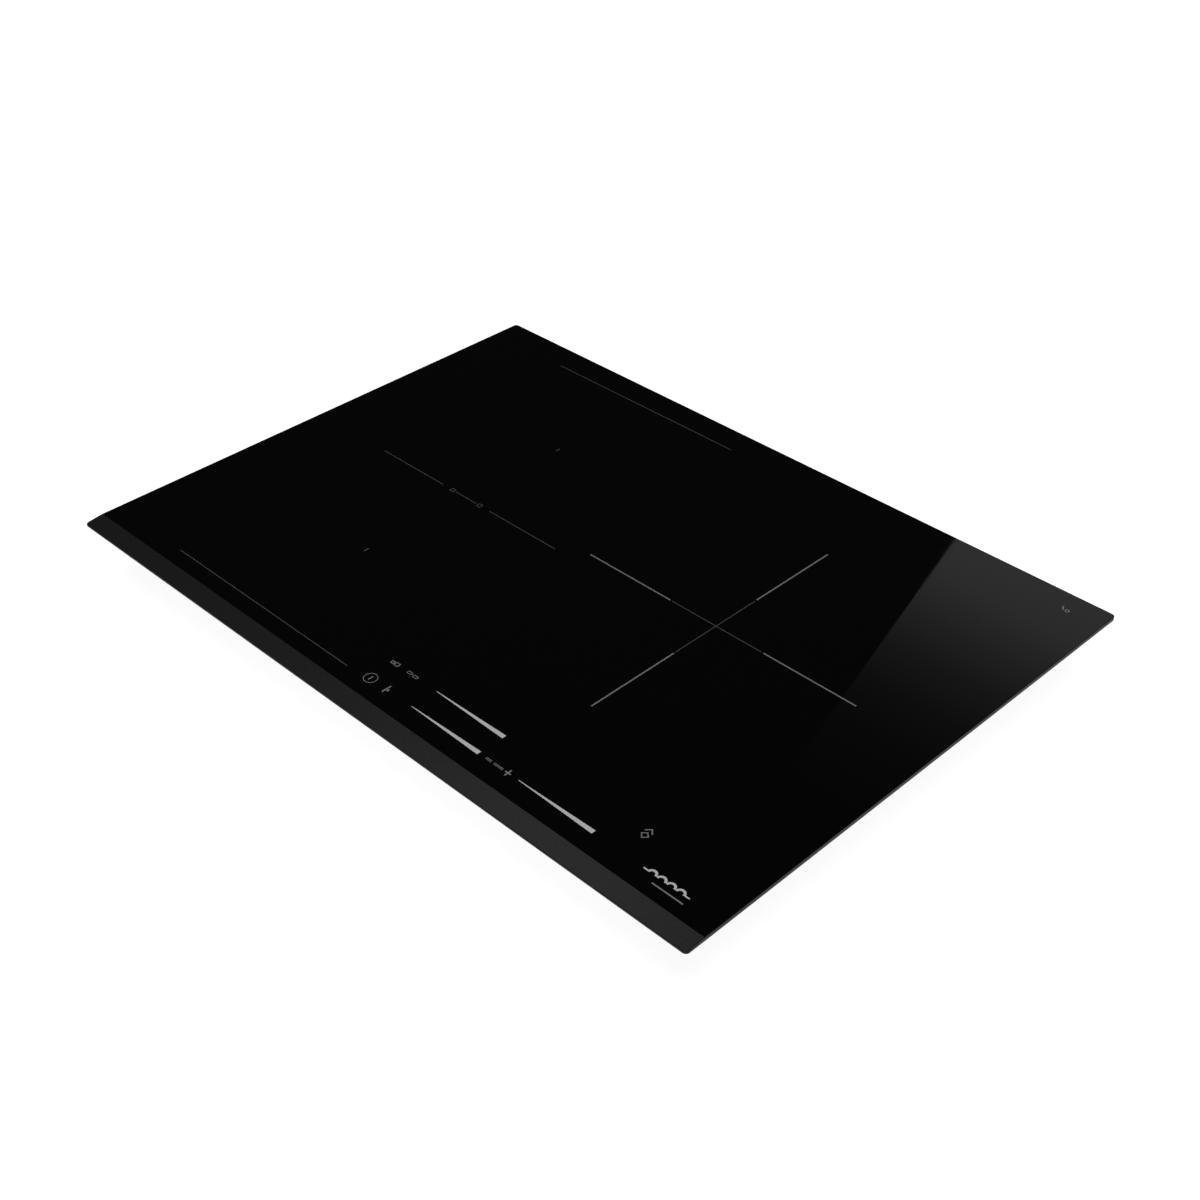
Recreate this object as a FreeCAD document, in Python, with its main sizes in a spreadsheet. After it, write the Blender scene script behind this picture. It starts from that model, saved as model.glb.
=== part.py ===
import FreeCAD, Part
import math
import os
import re
import Sketcher
from FreeCAD import Placement, Rotation, Vector

# Built-in electric induction cooktop, in millimetres.
# The origin is the middle of the plane where the seal rests on the worktop, below the middle of the glass.
# +X is to the cook's right, +Y to the back and +Z up; the front edge faces -Y.

# ---------------------------------------------------------------- driving dimensions
DIMENSIONS = [
    # glass and seal
    ("glass_width", 700, "glass, left to right"),
    ("glass_depth", 510, "glass, front to back"),
    ("glass_thickness", 4, "glass thickness"),
    ("glass_corner", 3.5, "glass corner radius"),
    ("bevel_run", 17.6, "front bevel, measured back from the front edge"),
    ("bevel_drop", 1.9, "front bevel, measured down"),
    ("edge_break", 0.35, "ground edge all round the glass"),
    ("seal_thickness", 1.5, "foam seal thickness when seated"),
    ("seal_band", 7, "foam seal width"),
    ("seal_setback", 1.5, "seal, in from the edge of the glass"),
    # pressed steel rim under the glass
    ("steel", 0.8, "sheet steel"),
    ("rim_width", 556, "rim, left to right, passes a 560 cut-out"),
    ("rim_depth", 480, "rim, front to back, passes a 490 cut-out"),
    ("rim_top", 0.5, "rim's top flange, upper face"),
    ("rim_bottom", -18, "rim's lower lip, underside"),
    ("rim_lip", 13, "rim's flange and lip, width"),
    ("rim_corner", 8, "rim corner radius"),
    ("bead_width", 8, "adhesive bead width"),
    # base tray
    ("tray_bottom", -48, "tray underside"),
    ("tray_width", 532, "tray, left to right"),
    ("tray_depth_top", 456, "tray at its top, front to back"),
    ("tray_depth_bottom", 432, "tray at its floor, front to back"),
    ("tray_flange", 11, "tray's screw flange, width"),
    ("tray_bend", 5, "tray's bend radius"),
    ("bead_length", 400, "stiffening bead in the tray's floor, length"),
    ("bead_groove", 10, "stiffening bead, width of its groove"),
    ("bead_height", 1.2, "stiffening bead, height"),
    ("intake_width", 3.2, "intake slot, width"),
    ("outlet_width", 3, "outlet slot, width"),
    ("outlet_height", 16, "outlet slot, height"),
    ("screw_shank", 1.7, "self-tapping screw, shank radius"),
    ("screw_hole", 1.75, "hole for a self-tapping screw, radius"),
    # coil plates and the stack of a coil
    ("plate_thickness", 1, "aluminium coil plate"),
    ("plate_split", -18, "where the two coil plates meet"),
    ("coil_top", 0, "top of a winding"),
    ("winding_height", 4, "height of a winding"),
    ("wire_width", 3.2, "width of one turn"),
    ("wire_pitch", 3.9, "distance between turns"),
    ("carrier_thickness", 2.4, "plastic coil carrier"),
    ("ferrite_height", 4.5, "ferrite bar height"),
    ("ferrite_width", 14, "ferrite bar width"),
    ("mica_gap", 0.2, "gap from winding to insulation sheet"),
    ("mica_thickness", 1, "insulation sheet"),
    ("sensor_radius", 6.5, "temperature sensor stem"),
    ("sensor_height", 9.9, "temperature sensor stem, height"),
    ("sensor_proud", 0.9, "temperature sensor, above the winding"),
    ("spring_radius", 4.5, "carrier spring, mean radius"),
    ("spring_wire", 1, "carrier spring wire diameter"),
    ("left_coil_x", -145.6, "left coils' middle"),
    ("left_front_y", -110, "left front coil's middle"),
    ("left_rear_y", 114, "left rear coil's middle"),
    ("left_coil_width", 200, "left coil winding, left to right"),
    ("left_coil_depth", 180, "left coil winding, front to back"),
    ("left_coil_corner", 44, "left coil winding's outer corner"),
    ("right_coil_x", 132.9, "right coil's middle"),
    ("right_coil_y", 17.7, "right coil's middle"),
    ("right_coil_radius", 128, "right coil's outer winding"),
    ("right_inner_radius", 78, "right coil's inner winding"),
    # electronics
    ("board_bottom", -41, "circuit boards, underside"),
    ("board_thickness", 1.6, "circuit board"),
    ("sink_width", 44, "heat sink, across its fins"),
    ("sink_foot", 4, "heat sink foot plate"),
    ("fin_height", 14.5, "heat sink fin, height with its root in the foot"),
    ("fin_thickness", 1.6, "heat sink fin"),
    ("capacitor_length", 31, "film capacitor, left to right"),
    ("capacitor_depth", 19, "film capacitor, front to back"),
    ("capacitor_height", 17, "film capacitor, height"),
    ("choke_radius", 11, "toroidal choke, mean radius"),
    ("choke_section", 5.5, "toroidal choke, section radius"),
    ("fan_size", 80, "fan housing, square"),
    ("fan_height", 15, "fan housing height"),
    ("fan_bore", 38, "fan housing bore radius"),
    ("fan_y", 165, "fans' middle"),
    ("left_fan_x", -215, "left fan's middle"),
    ("right_fan_x", 60, "right fan's middle"),
    ("fan_screw", 35, "fan screw, from the fan's middle"),
    ("fan_hub", 16, "fan hub radius"),
    ("fan_shaft", 1.5, "fan shaft radius"),
    # touch control
    ("control_x", 118, "control board's middle"),
    ("control_y", -204, "control board's middle"),
    ("control_width", 288, "control board, left to right"),
    ("control_depth", 43, "control board, front to back"),
    ("control_bottom", -8.1, "control board, underside"),
    ("slider_length", 76, "lit slider, length"),
    ("key_spring_radius", 3, "touch key spring, mean radius"),
    ("key_spring_wire", 0.6, "touch key spring wire diameter"),
    # mains inlet
    ("inlet_left", 150, "terminal housing, left face"),
    ("inlet_width", 100, "terminal housing, left to right"),
    ("inlet_front", 180, "terminal housing, front face"),
    ("inlet_back", 229, "terminal housing, back face"),
    ("inlet_height", 27.2, "terminal housing height"),
    ("inlet_wall", 2, "terminal housing wall"),
    ("terminal_x", 187, "terminal block's middle"),
    ("cable_radius", 6.5, "cable entry bore"),
    ("cable_x", 236, "cable entry's middle"),
    ("cable_z", -33.6, "cable entry's height"),
    ("cover_axis_y", 231.3, "terminal cover's hinge line"),
    ("cover_axis_z", -45, "terminal cover's hinge line"),
    # fixing to the worktop
    ("clamp_x", 271.8, "swing clamp's screw, out from the middle"),
    ("clamp_y", 150, "swing clamp's screw, from the middle"),
    ("clamp_arm", 46, "swing clamp arm length"),
    ("clamp_width", 9, "swing clamp arm width"),
    ("clamp_plate", 1.6, "swing clamp plate"),
    ("clamp_screw", 2, "swing clamp screw radius"),
    ("fit", 0.05, "radial clearance of a running fit"),
]

document = FreeCAD.newDocument("induction_cooktop")
sizes = document.addObject("Spreadsheet::Sheet", "sizes")
for row, (alias, value, note) in enumerate(DIMENSIONS, start=1):
    sizes.set(f"A{row}", note)
    sizes.set(f"B{row}", str(value))
    sizes.setAlias(f"B{row}", alias)
document.recompute()

ALIAS = re.compile(r"\b(" + "|".join(alias for alias, _, _ in DIMENSIONS) + r")\b")
PLANE_ALONG = {"X": "YZ_Plane", "Z": "XY_Plane"}
TURN_TO = {
    "Z": Rotation(),
    "Y": Rotation(Vector(1, 0, 0), -90),
    "X": Rotation(Vector(0, 1, 0), 90),
}
nodes = {}

# heights that several pieces share, as formulas over the sheet
GLASS_TOP = "seal_thickness + glass_thickness"
TRAY_FLOOR = "tray_bottom + steel"
PLATE_BOTTOM = "rim_bottom + steel"
PLATE_TOP = "rim_bottom + steel + plate_thickness"
WINDING_BOTTOM = "coil_top - winding_height"
CARRIER_BOTTOM = "coil_top - winding_height - carrier_thickness"
BOARD_TOP = "board_bottom + board_thickness"
CONTROL_TOP = "control_bottom + board_thickness"
FAN_TOP = "tray_bottom + steel + fan_height"


# ---------------------------------------------------------------- helpers
def formula(text):
    """A formula over the sheet's aliases, as FreeCAD wants it."""
    return ALIAS.sub(r"sizes.\1", str(text))


def size(alias):
    """One driving dimension as a number."""
    return float(sizes.get(alias))


def bind(thing, formulas):
    for path, text in formulas.items():
        thing.setExpression(path, formula(text))
    return thing


def place(thing, x, y, z, axis="Z"):
    thing.Placement = Placement(Vector(), TURN_TO[axis])
    return bind(thing, {"Placement.Base.x": x, "Placement.Base.y": y, "Placement.Base.z": z})


def block(name, width, depth, height, x, y, z):
    """A box whose middle is at x, y and whose underside is at z."""
    box = document.addObject("Part::Box", name)
    bind(box, {"Length": width, "Width": depth, "Height": height})
    return place(box, f"{x} - ({width}) / 2", f"{y} - ({depth}) / 2", z)


def rod(name, radius, length, x, y, z, axis="Z"):
    """A cylinder that starts at x, y, z and runs along the axis."""
    cylinder = document.addObject("Part::Cylinder", name)
    bind(cylinder, {"Radius": radius, "Height": length})
    return place(cylinder, x, y, z, axis)


def joined(kind, name, shapes, links):
    result = document.addObject(kind, name)
    setattr(result, links, shapes)
    return result


def group(name, shapes):
    """Separate solids that share one node."""
    return joined("Part::Compound", name, shapes, "Links")


def fuse(name, shapes):
    return joined("Part::MultiFuse", name, shapes, "Shapes")


def cut(name, base, tools):
    result = document.addObject("Part::Cut", name)
    result.Base = base
    result.Tool = tools[0] if len(tools) == 1 else group(f"{name}_cutters", tools)
    return result


def sketch_on(body, name, axis, offset):
    """An empty sketch on the body's own origin plane square to the axis, moved by the offset formulas."""
    sketch = body.newObject("Sketcher::SketchObject", name)
    plane = [f for f in body.Origin.OriginFeatures if f.Role == PLANE_ALONG[axis]][0]
    sketch.AttachmentSupport = [(plane, "")]
    sketch.MapMode = "FlatFace"
    paths = [f"AttachmentOffset.Base.{letter}" for letter in "xyz"]
    return bind(sketch, dict(zip(paths, offset)))


def closed_outline(sketch, points):
    """Straight lines through the points, joined end to end and back to the start."""
    corners = [Vector(x, y, 0) for x, y in points]
    for start, end in zip(corners, corners[1:] + corners[:1]):
        sketch.addGeometry(Part.LineSegment(start, end))
    for line in range(len(corners)):
        sketch.addConstraint(Sketcher.Constraint("Coincident", line, 2, (line + 1) % len(corners), 1))


def dimension(sketch, name, text, kind, *where):
    """A named distance in a sketch, driven by the sheet."""
    number = sketch.addConstraint(Sketcher.Constraint(kind, *where))
    sketch.renameConstraint(number, name)
    sketch.setExpression(f"Constraints.{name}", formula(text))


def rectangle(sketch, width, depth):
    """A rectangle about the sketch's origin."""
    closed_outline(sketch, [(-10, -5), (10, -5), (10, 5), (-10, 5)])
    for line, kind in enumerate(["Horizontal", "Vertical", "Horizontal", "Vertical"]):
        sketch.addConstraint(Sketcher.Constraint(kind, line))
    sketch.addConstraint(Sketcher.Constraint("Symmetric", 0, 1, 1, 2, -1, 1))
    dimension(sketch, "width", width, "DistanceX", 0, 1, 0, 2, 20)
    dimension(sketch, "depth", depth, "DistanceY", 1, 1, 1, 2, 10)


def edges_where(shape, test):
    return [f"Edge{number}" for number, edge in enumerate(shape.Edges, start=1) if test(edge)]


def upright(edge):
    box = edge.BoundBox
    return box.ZLength > 0.01 and box.XLength < 0.01 and box.YLength < 0.01


def round_edges(body, name, base, radius, test, kind="PartDesign::Fillet"):
    document.recompute()
    feature = body.newObject(kind, name)
    feature.Base = (base, edges_where(base.Shape, test))
    bind(feature, {"Radius" if kind.endswith("Fillet") else "Size": radius})
    return feature


def pad(body, name, sketch, length):
    feature = body.newObject("PartDesign::Pad", name)
    feature.Profile = sketch
    bind(feature, {"Length": length})
    return feature


def slab(name, width, depth, height, x, y, z, corner=None):
    """A plate with rounded corners whose middle is at x, y and whose underside is at z."""
    body = document.addObject("PartDesign::Body", name)
    outline = sketch_on(body, f"{name}_outline", "Z", (x, y, z))
    rectangle(outline, width, depth)
    solid = pad(body, f"{name}_pad", outline, height)
    if corner:
        round_edges(body, f"{name}_corners", solid, corner, upright)
    return body


def ring(name, width, depth, band, height, z, corner, inner_corner):
    """A rectangular ring about the middle of the glass."""
    outside = slab(f"{name}_outside", width, depth, height, "0", "0", z, corner)
    inner_width, inner_depth = (f"{across} - 2 * ({band})" for across in (width, depth))
    inside = slab(f"{name}_inside", inner_width, inner_depth, height, "0", "0", z, inner_corner)
    return cut(name, outside, [inside])


def screw(name, radius, length, head_radius, head_height, x, y, z, head_below):
    """A cross-head screw: z is the face under its head, and head_below says which way the head sits."""
    shank_z = z if head_below else f"{z} - ({length})"
    head_z = f"{z} - {head_height}" if head_below else z
    head = rod(f"{name}_head", head_radius, head_height, x, y, head_z)
    shank = rod(f"{name}_shank", radius, length, x, y, shank_z)
    whole = fuse(f"{name}_blank", [head, shank])
    recess = f"{head_height} / 2"
    recess_z = head_z if head_below else f"{z} + {recess}"
    slots = [
        block(f"{name}_slot_a", f"{head_radius} * 1.1", f"{head_radius} * 0.25", recess, x, y, recess_z),
        block(f"{name}_slot_b", f"{head_radius} * 0.25", f"{head_radius} * 1.1", recess, x, y, recess_z),
    ]
    return cut(name, whole, [fuse(f"{name}_cross", slots)])


def feature(name, shape):
    thing = document.addObject("Part::Feature", name)
    thing.Shape = shape
    return thing


def rounded_face(width, depth, corner):
    """A flat face with rounded corners about the origin."""
    a, b = width / 2, depth / 2
    c = corner * (1 - math.sqrt(0.5))
    edges = []
    for sx, sy in [(1, 1), (-1, 1), (-1, -1), (1, -1)]:
        ends = [Vector(sx * a, sy * (b - corner), 0), Vector(sx * (a - corner), sy * b, 0)]
        if sx * sy < 0:
            ends.reverse()
        if edges:
            edges.append(Part.LineSegment(edges[-1].EndPoint, ends[0]))
        edges.append(Part.Arc(ends[0], Vector(sx * (a - c), sy * (b - c), 0), ends[1]))
    edges.append(Part.LineSegment(edges[-1].EndPoint, edges[0].StartPoint))
    return Part.Face(Part.Wire([edge.toShape() for edge in edges]))


def lead_path(points):
    """Straight runs joined by tangent arcs, each arc as large as its two runs allow."""
    edges = []
    start = points[0]
    for before, corner, after in zip(points, points[1:], points[2:]):
        into, out = (before - corner), (after - corner)
        shorter = min(into.Length, out.Length)
        into.normalize()
        out.normalize()
        reach = 0.45 * shorter
        entry, leave = corner + into * reach, corner + out * reach
        turn = math.pi - into.getAngle(out)
        radius = reach / math.tan(turn / 2)
        inward = (into + out).normalize()
        middle = corner + inward * (radius / math.cos(turn / 2) - radius)
        edges += [Part.LineSegment(start, entry), Part.Arc(entry, middle, leave)]
        start = leave
    edges.append(Part.LineSegment(start, points[-1]))
    return Part.Wire([edge.toShape() for edge in edges])


def lead(points, radius):
    """A round wire along the path; its volume is compared with its section times its length."""
    path = lead_path(points)
    way = (points[1] - points[0]).normalize()
    section = Part.Wire(Part.makeCircle(radius, points[0], way))
    tube = path.makePipeShell([section], True, True)
    assert abs(tube.Volume / (math.pi * radius**2 * path.Length) - 1) < 0.02
    return tube


def spring_path(radius, rise, coils):
    """Eight arcs to the turn, each tangent to the next, that climb like a helix."""
    sides = 8
    reach = radius / math.cos(math.pi / sides)
    corners = []
    for i in range(coils * sides + 1):
        turned = 2 * math.pi * i / sides
        climbed = rise * i / (coils * sides)
        corners.append(Vector(reach * math.cos(turned), reach * math.sin(turned), climbed))
    middles = [(start + end) * 0.5 for start, end in zip(corners, corners[1:])]
    arcs = []
    for start, corner, end in zip(middles, corners[1:], middles[1:]):
        half_turn = (math.pi - (start - corner).getAngle(end - corner)) / 2
        inward = (start + end - corner * 2).normalize()
        bend_radius = (start - corner).Length / math.tan(half_turn)
        middle = corner + inward * (bend_radius / math.cos(half_turn) - bend_radius)
        arcs.append(Part.Arc(start, middle, end))
    return Part.Wire([arc.toShape() for arc in arcs])


def spring(name, radius, wire, coils, length, x, y, z):
    """An open coil spring between z and z + length."""
    gap = 0.1
    path = spring_path(size(radius), length - size(wire) - 2 * gap, coils)
    first = path.Edges[0]
    way = first.tangentAt(first.FirstParameter)
    section = Part.Wire(Part.makeCircle(size(wire) / 2, first.Vertexes[0].Point, way))
    tube = path.makePipeShell([section], True, True)
    assert abs(tube.Volume / (math.pi * size(wire) ** 2 / 4 * path.Length) - 1) < 0.02
    return place(feature(name, tube), x, y, f"{z} + {wire} / 2 + {gap}")


def node(label, thing):
    thing.Label = label
    nodes[label] = thing


# ---------------------------------------------------------------- glass, seal and adhesive
def make_glass():
    body = document.addObject("PartDesign::Body", "glass")
    outline = sketch_on(body, "glass_outline", "Z", ("0", "0", "seal_thickness"))
    rectangle(outline, "glass_width", "glass_depth")
    plate = pad(body, "glass_pad", outline, "glass_thickness")
    corners = round_edges(body, "glass_corners", plate, "glass_corner", upright)
    document.recompute()
    # the bevel's section: a triangle at the top front edge, cut along the whole width
    wedge = sketch_on(body, "bevel_section", "X", ("-glass_depth / 2", GLASS_TOP, "0"))
    closed_outline(wedge, [(0, 0), (0, -2), (18, 0)])
    wedge.addConstraint(Sketcher.Constraint("Coincident", 0, 1, -1, 1))
    wedge.addConstraint(Sketcher.Constraint("Vertical", 0))
    wedge.addConstraint(Sketcher.Constraint("Horizontal", 2))
    dimension(wedge, "drop", "bevel_drop", "DistanceY", 0, 2, 0, 1, 2)
    dimension(wedge, "run", "bevel_run", "DistanceX", 2, 2, 2, 1, 18)
    bevel = body.newObject("PartDesign::Pocket", "front_bevel")
    bevel.Profile = wedge
    bevel.Type = "ThroughAll"
    bevel.Midplane = True
    document.recompute()
    assert bevel.Shape.Volume < corners.Shape.Volume - size("glass_width") * 10
    top = size("seal_thickness") + size("glass_thickness")
    ridge = -size("glass_depth") / 2 + size("bevel_run")
    low, front = size("seal_thickness"), -size("glass_depth") / 2

    def outer_edge(edge):
        box = edge.BoundBox
        level = box.ZLength < 0.01
        at_rim = level and (abs(box.ZMin - top) < 0.01 or abs(box.ZMin - low) < 0.01)
        on_ridge = abs(box.YMin - ridge) < 0.01 and abs(box.YMax - ridge) < 0.01
        slanted = box.ZLength > 0.1 and box.YLength > 5
        top_front = level and box.YMax < front + 0.01 and box.ZMin > low + 1
        return (at_rim and not on_ridge) or slanted or top_front

    round_edges(body, "ground_edge", bevel, "edge_break", outer_edge, "PartDesign::Chamfer")
    node("glass_top", body)


def make_seal_and_bead():
    inner = "glass_corner"
    node(
        "worktop_seal",
        ring(
            "seal", "glass_width - 2 * seal_setback", "glass_depth - 2 * seal_setback",
            "seal_band", "seal_thickness", "0", inner, inner,
        ),
    )
    node(
        "glass_adhesive",
        ring(
            "bead", "rim_width - 4", "rim_depth - 4",
            "bead_width", "seal_thickness - rim_top", "rim_top", "rim_corner - 2", inner,
        ),
    )


# ---------------------------------------------------------------- pressed steel rim and base tray
BASE_SCREWS = [(sx * 271.5, sy * 60) for sx in (-1, 1) for sy in (-1, 1)]
BASE_SCREWS += [(sx * 120, sy * 233.5) for sx in (-1, 1) for sy in (-1, 1)]
PLATE_SCREWS = [(sx * 271.5, sy * y) for sx in (-1, 1) for sy in (-1, 1) for y in (25, 205)]
CLAMPS = [("front_left", -1, -1), ("front_right", 1, -1), ("rear_left", -1, 1), ("rear_right", 1, 1)]


def screw_holes(name, places, radius, z, height):
    return [rod(f"{name}_{i}", radius, height, str(x), str(y), z) for i, (x, y) in enumerate(places)]


def clamp_holes(name, z, height):
    return [
        rod(f"{name}_{which}", "clamp_screw + fit", height, f"{sx} * clamp_x", f"{sy} * clamp_y", z)
        for which, sx, sy in CLAMPS
    ]


def make_rim():
    corners = ("rim_corner", "rim_corner - 3")
    fold = ("rim_width", "rim_depth", "rim_lip", "steel")
    flange = ring("rim_flange", *fold, "rim_top - steel", *corners)
    skirt = ring(
        "rim_skirt", "rim_width", "rim_depth", "steel", "rim_top - rim_bottom", "rim_bottom",
        "rim_corner", "rim_corner - steel",
    )
    lip = ring("rim_fold", *fold, "rim_bottom", *corners)
    blank = fuse("rim_blank", [flange, skirt, lip])
    blank.Refine = True
    below_lip = "rim_bottom - 1"
    holes = screw_holes("rim_screw_hole", BASE_SCREWS + PLATE_SCREWS, "screw_hole", below_lip, "steel + 2")
    holes += clamp_holes("rim_clamp_hole", below_lip, "steel + 2")
    node("top_frame", cut("rim", blank, holes))


def pan_solid(name, floor, floor_depth, mouth_depth, width, bend):
    """A solid whose front and back walls lean outwards from its floor up to the rim."""
    body = document.addObject("PartDesign::Body", name)
    section = sketch_on(body, f"{name}_section", "X", ("0", floor, "0"))
    closed_outline(section, [(-200, 0), (200, 0), (210, 30), (-210, 30)])
    section.addConstraint(Sketcher.Constraint("Horizontal", 0))
    section.addConstraint(Sketcher.Constraint("Symmetric", 0, 1, 0, 2, -1, 1))
    section.addConstraint(Sketcher.Constraint("Symmetric", 2, 1, 2, 2, -2))
    dimension(section, "floor", floor_depth, "DistanceX", 0, 1, 0, 2, 400)
    dimension(section, "mouth", mouth_depth, "DistanceX", 2, 2, 2, 1, 420)
    dimension(section, "height", f"rim_bottom - ({floor})", "DistanceY", 1, 1, 1, 2, 30)
    solid = pad(body, f"{name}_pad", section, width)
    solid.Midplane = True
    mouth = size("rim_bottom")
    round_edges(body, f"{name}_bends", solid, bend, lambda edge: edge.BoundBox.ZMin < mouth - 1)
    return body


def tray_pan():
    """The pan: the outer solid less the inner one, one sheet thickness inside it."""
    lean = "(tray_depth_top - tray_depth_bottom) / 2 / (rim_bottom - tray_bottom)"
    across = f"steel * sqrt(1 + ({lean}) ^ 2)"
    outside = pan_solid(
        "pan_outside", "tray_bottom", "tray_depth_bottom", "tray_depth_top", "tray_width", "tray_bend"
    )
    inside = pan_solid(
        "pan_inside", TRAY_FLOOR, f"tray_depth_bottom + 2 * steel * {lean} - 2 * {across}",
        f"tray_depth_top - 2 * {across}", "tray_width - 2 * steel", "tray_bend - steel",
    )
    return cut("pan", outside, [inside])


def vent_slots():
    """Intake slots below each fan and outlet slots in the front wall, ahead of each heat sink."""
    slots = []
    intake_pitch, outlet_pitch = 6.4, 6
    for side, fan_x in [("left", "left_fan_x"), ("right", "right_fan_x")]:
        for i in range(-5, 6):
            y = f"(fan_y + {i * intake_pitch})"
            chord = f"2 * sqrt((fan_bore - 2) ^ 2 - ({i * intake_pitch}) ^ 2)"
            name = f"{side}_intake_{i + 5}"
            slots.append(block(name, chord, "intake_width", "steel + 2", fan_x, y, "tray_bottom - 1"))
        for i in range(-7, 8):
            x, y = f"({fan_x} + {i * outlet_pitch})", "(-tray_depth_bottom / 2 - 4)"
            name = f"{side}_outlet_{i + 7}"
            slots.append(block(name, "outlet_width", "20", "outlet_height", x, y, "tray_bottom + 8"))
    return slots


def floor_beads():
    """Stiffening beads pressed up into the floor: ridges inside, grooves outside."""
    ridges, grooves = [], []
    ridge_length, ridge_width = "bead_length + 2 * steel", "bead_groove + 2 * steel"
    for i, y in enumerate([-150, -90, -30, 30]):
        ridges.append(
            slab(f"bead_ridge_{i}", ridge_length, ridge_width, "bead_height", "0", str(y),
                 TRAY_FLOOR, "bead_groove / 2 + steel - 0.05")
        )
        grooves.append(
            slab(f"bead_groove_{i}", "bead_length", "bead_groove", "bead_height", "0", str(y),
                 "tray_bottom", "bead_groove / 2 - 0.05")
        )
    return ridges, grooves


def make_tray():
    flange = ring(
        "tray_flange_ring", "tray_width + 2 * tray_flange", "tray_depth_top + 2 * tray_flange",
        "tray_flange + 0.8 * steel", "steel", "rim_bottom - steel", "rim_corner - 1", "tray_bend",
    )
    ridges, grooves = floor_beads()
    blank = fuse("tray_blank", [tray_pan(), flange] + ridges)
    blank.Refine = True
    inlet = block(
        "tray_inlet_opening", "inlet_width + 1", "20", "inlet_height + 0.8",
        "inlet_left + inlet_width / 2", "inlet_back - 9", TRAY_FLOOR,
    )
    flange_z = "rim_bottom - steel - 1"
    holes = screw_holes("tray_screw_hole", BASE_SCREWS, "screw_hole", flange_z, "steel + 2")
    holes += clamp_holes("tray_clamp_hole", flange_z, "steel + 2")
    node("base_tray", cut("tray", blank, vent_slots() + grooves + [inlet] + holes))


def make_case_screws():
    under_flange = "rim_bottom - steel"
    base = [
        screw(f"base_screw_{i}", "screw_shank", "4", "3.2", "1.9", str(x), str(y), under_flange, True)
        for i, (x, y) in enumerate(BASE_SCREWS)
    ]
    node("base_screws", group("base_screw_set", base))
    inner = [
        screw(f"plate_screw_{i}", "screw_shank", "plate_thickness + steel", "3", "1.6",
              str(x), str(y), PLATE_TOP, False)
        for i, (x, y) in enumerate(PLATE_SCREWS)
    ]
    for side in ("left", "right"):
        inner += [
            screw(f"{side}_fan_screw_{sx}_{sy}", "screw_shank", "fan_height", "3", "1.6",
                  f"({side}_fan_x + {sx} * fan_screw)", f"(fan_y + {sy} * fan_screw)", FAN_TOP, False)
            for sx in (-1, 1)
            for sy in (-1, 1)
        ]
    node("inner_screws", group("inner_screw_set", inner))


# ---------------------------------------------------------------- coil plates and coils
# each coil: name, middle, and where its four springs stand from its middle
COILS = [
    ("left_front", "left_coil_x", "left_front_y", (92, 80)),
    ("left_rear", "left_coil_x", "left_rear_y", (92, 80)),
    ("right", "right_coil_x", "right_coil_y", (74, 74)),
]
LEAD_RUN = 8
LEAD_RADIUS = 1.2
FERRITE_START = 30
RIGHT_FERRITES = 12


def spring_places(coil_x, coil_y, spread):
    return [
        (f"({coil_x} + {sx * spread[0]})", f"({coil_y} + {sy * spread[1]})")
        for sx in (-1, 1)
        for sy in (-1, 1)
    ]


def make_coil_plates():
    gap = 1
    edge = "rim_width / 2 - steel - 1"
    inner_depth = "rim_depth - 2 * steel - 2"
    for side, low, high in [
        ("left", f"-({edge})", f"plate_split - {gap}"),
        ("right", f"plate_split + {gap}", edge),
    ]:
        width = f"({high}) - ({low})"
        middle = f"(({high}) + ({low})) / 2"
        blank = slab(f"{side}_plate", width, inner_depth, "plate_thickness", middle, "0", PLATE_BOTTOM, "6")
        cuts = [
            rod(f"{name}_plate_hole", "32", "5", x, y, f"{PLATE_BOTTOM} - 2")
            for name, x, y, _ in COILS
            if name.startswith(side)
        ]
        places = [(x, y) for x, y in BASE_SCREWS + PLATE_SCREWS if (x < 0) == (side == "left")]
        cuts += screw_holes(f"{side}_plate_screw_hole", places, "screw_hole", f"{PLATE_BOTTOM} - 2", "5")
        if side == "right":
            cuts.append(block("ribbon_slot", "20", "18", "5", "12", "-182", f"{PLATE_BOTTOM} - 2"))
        node(f"coil_plate_{side}", cut(f"{side}_plate_cut", blank, cuts))


def coil_carrier(name, blank, x, y, inner_reach):
    holes = [rod(f"{name}_sensor_hole", "sensor_radius + 0.5", "6", x, y, f"{CARRIER_BOTTOM} - 1")]
    for way in (-1, 1):
        hole_x = f"({x} + {way * (inner_reach - LEAD_RUN + 1)})"
        holes.append(rod(f"{name}_lead_hole_{way + 1}", "4", "6", hole_x, y, f"{CARRIER_BOTTOM} - 1"))
    node(f"carrier_{name}", cut(f"{name}_carrier_cut", blank, holes))


def insulation(name, blank, x, y):
    hole = rod(f"{name}_mica_hole", "sensor_radius + 1", "4", x, y, "coil_top - 1")
    node(f"insulation_{name}", cut(f"{name}_mica_cut", blank, [hole]))


def turns(faces_at, count):
    """Closed loops of wire side by side: faces_at gives a flat face that far in from the outermost edge."""
    loops = []
    for i in range(count):
        start = i * size("wire_pitch")
        loop = faces_at(start).cut(faces_at(start + size("wire_width")))
        loops.append(loop.extrude(Vector(0, 0, size("winding_height"))))
    return Part.makeCompound(loops)


def winding(label, shape, x, y):
    node(label, place(feature(f"{label}_turns", shape), x, y, WINDING_BOTTOM))


def left_face(inset):
    corner = max(size("left_coil_corner") - inset, 2)
    return rounded_face(size("left_coil_width") - 2 * inset, size("left_coil_depth") - 2 * inset, corner)


def disc(radius):
    return Part.Face(Part.Wire(Part.makeCircle(radius)))


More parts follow.
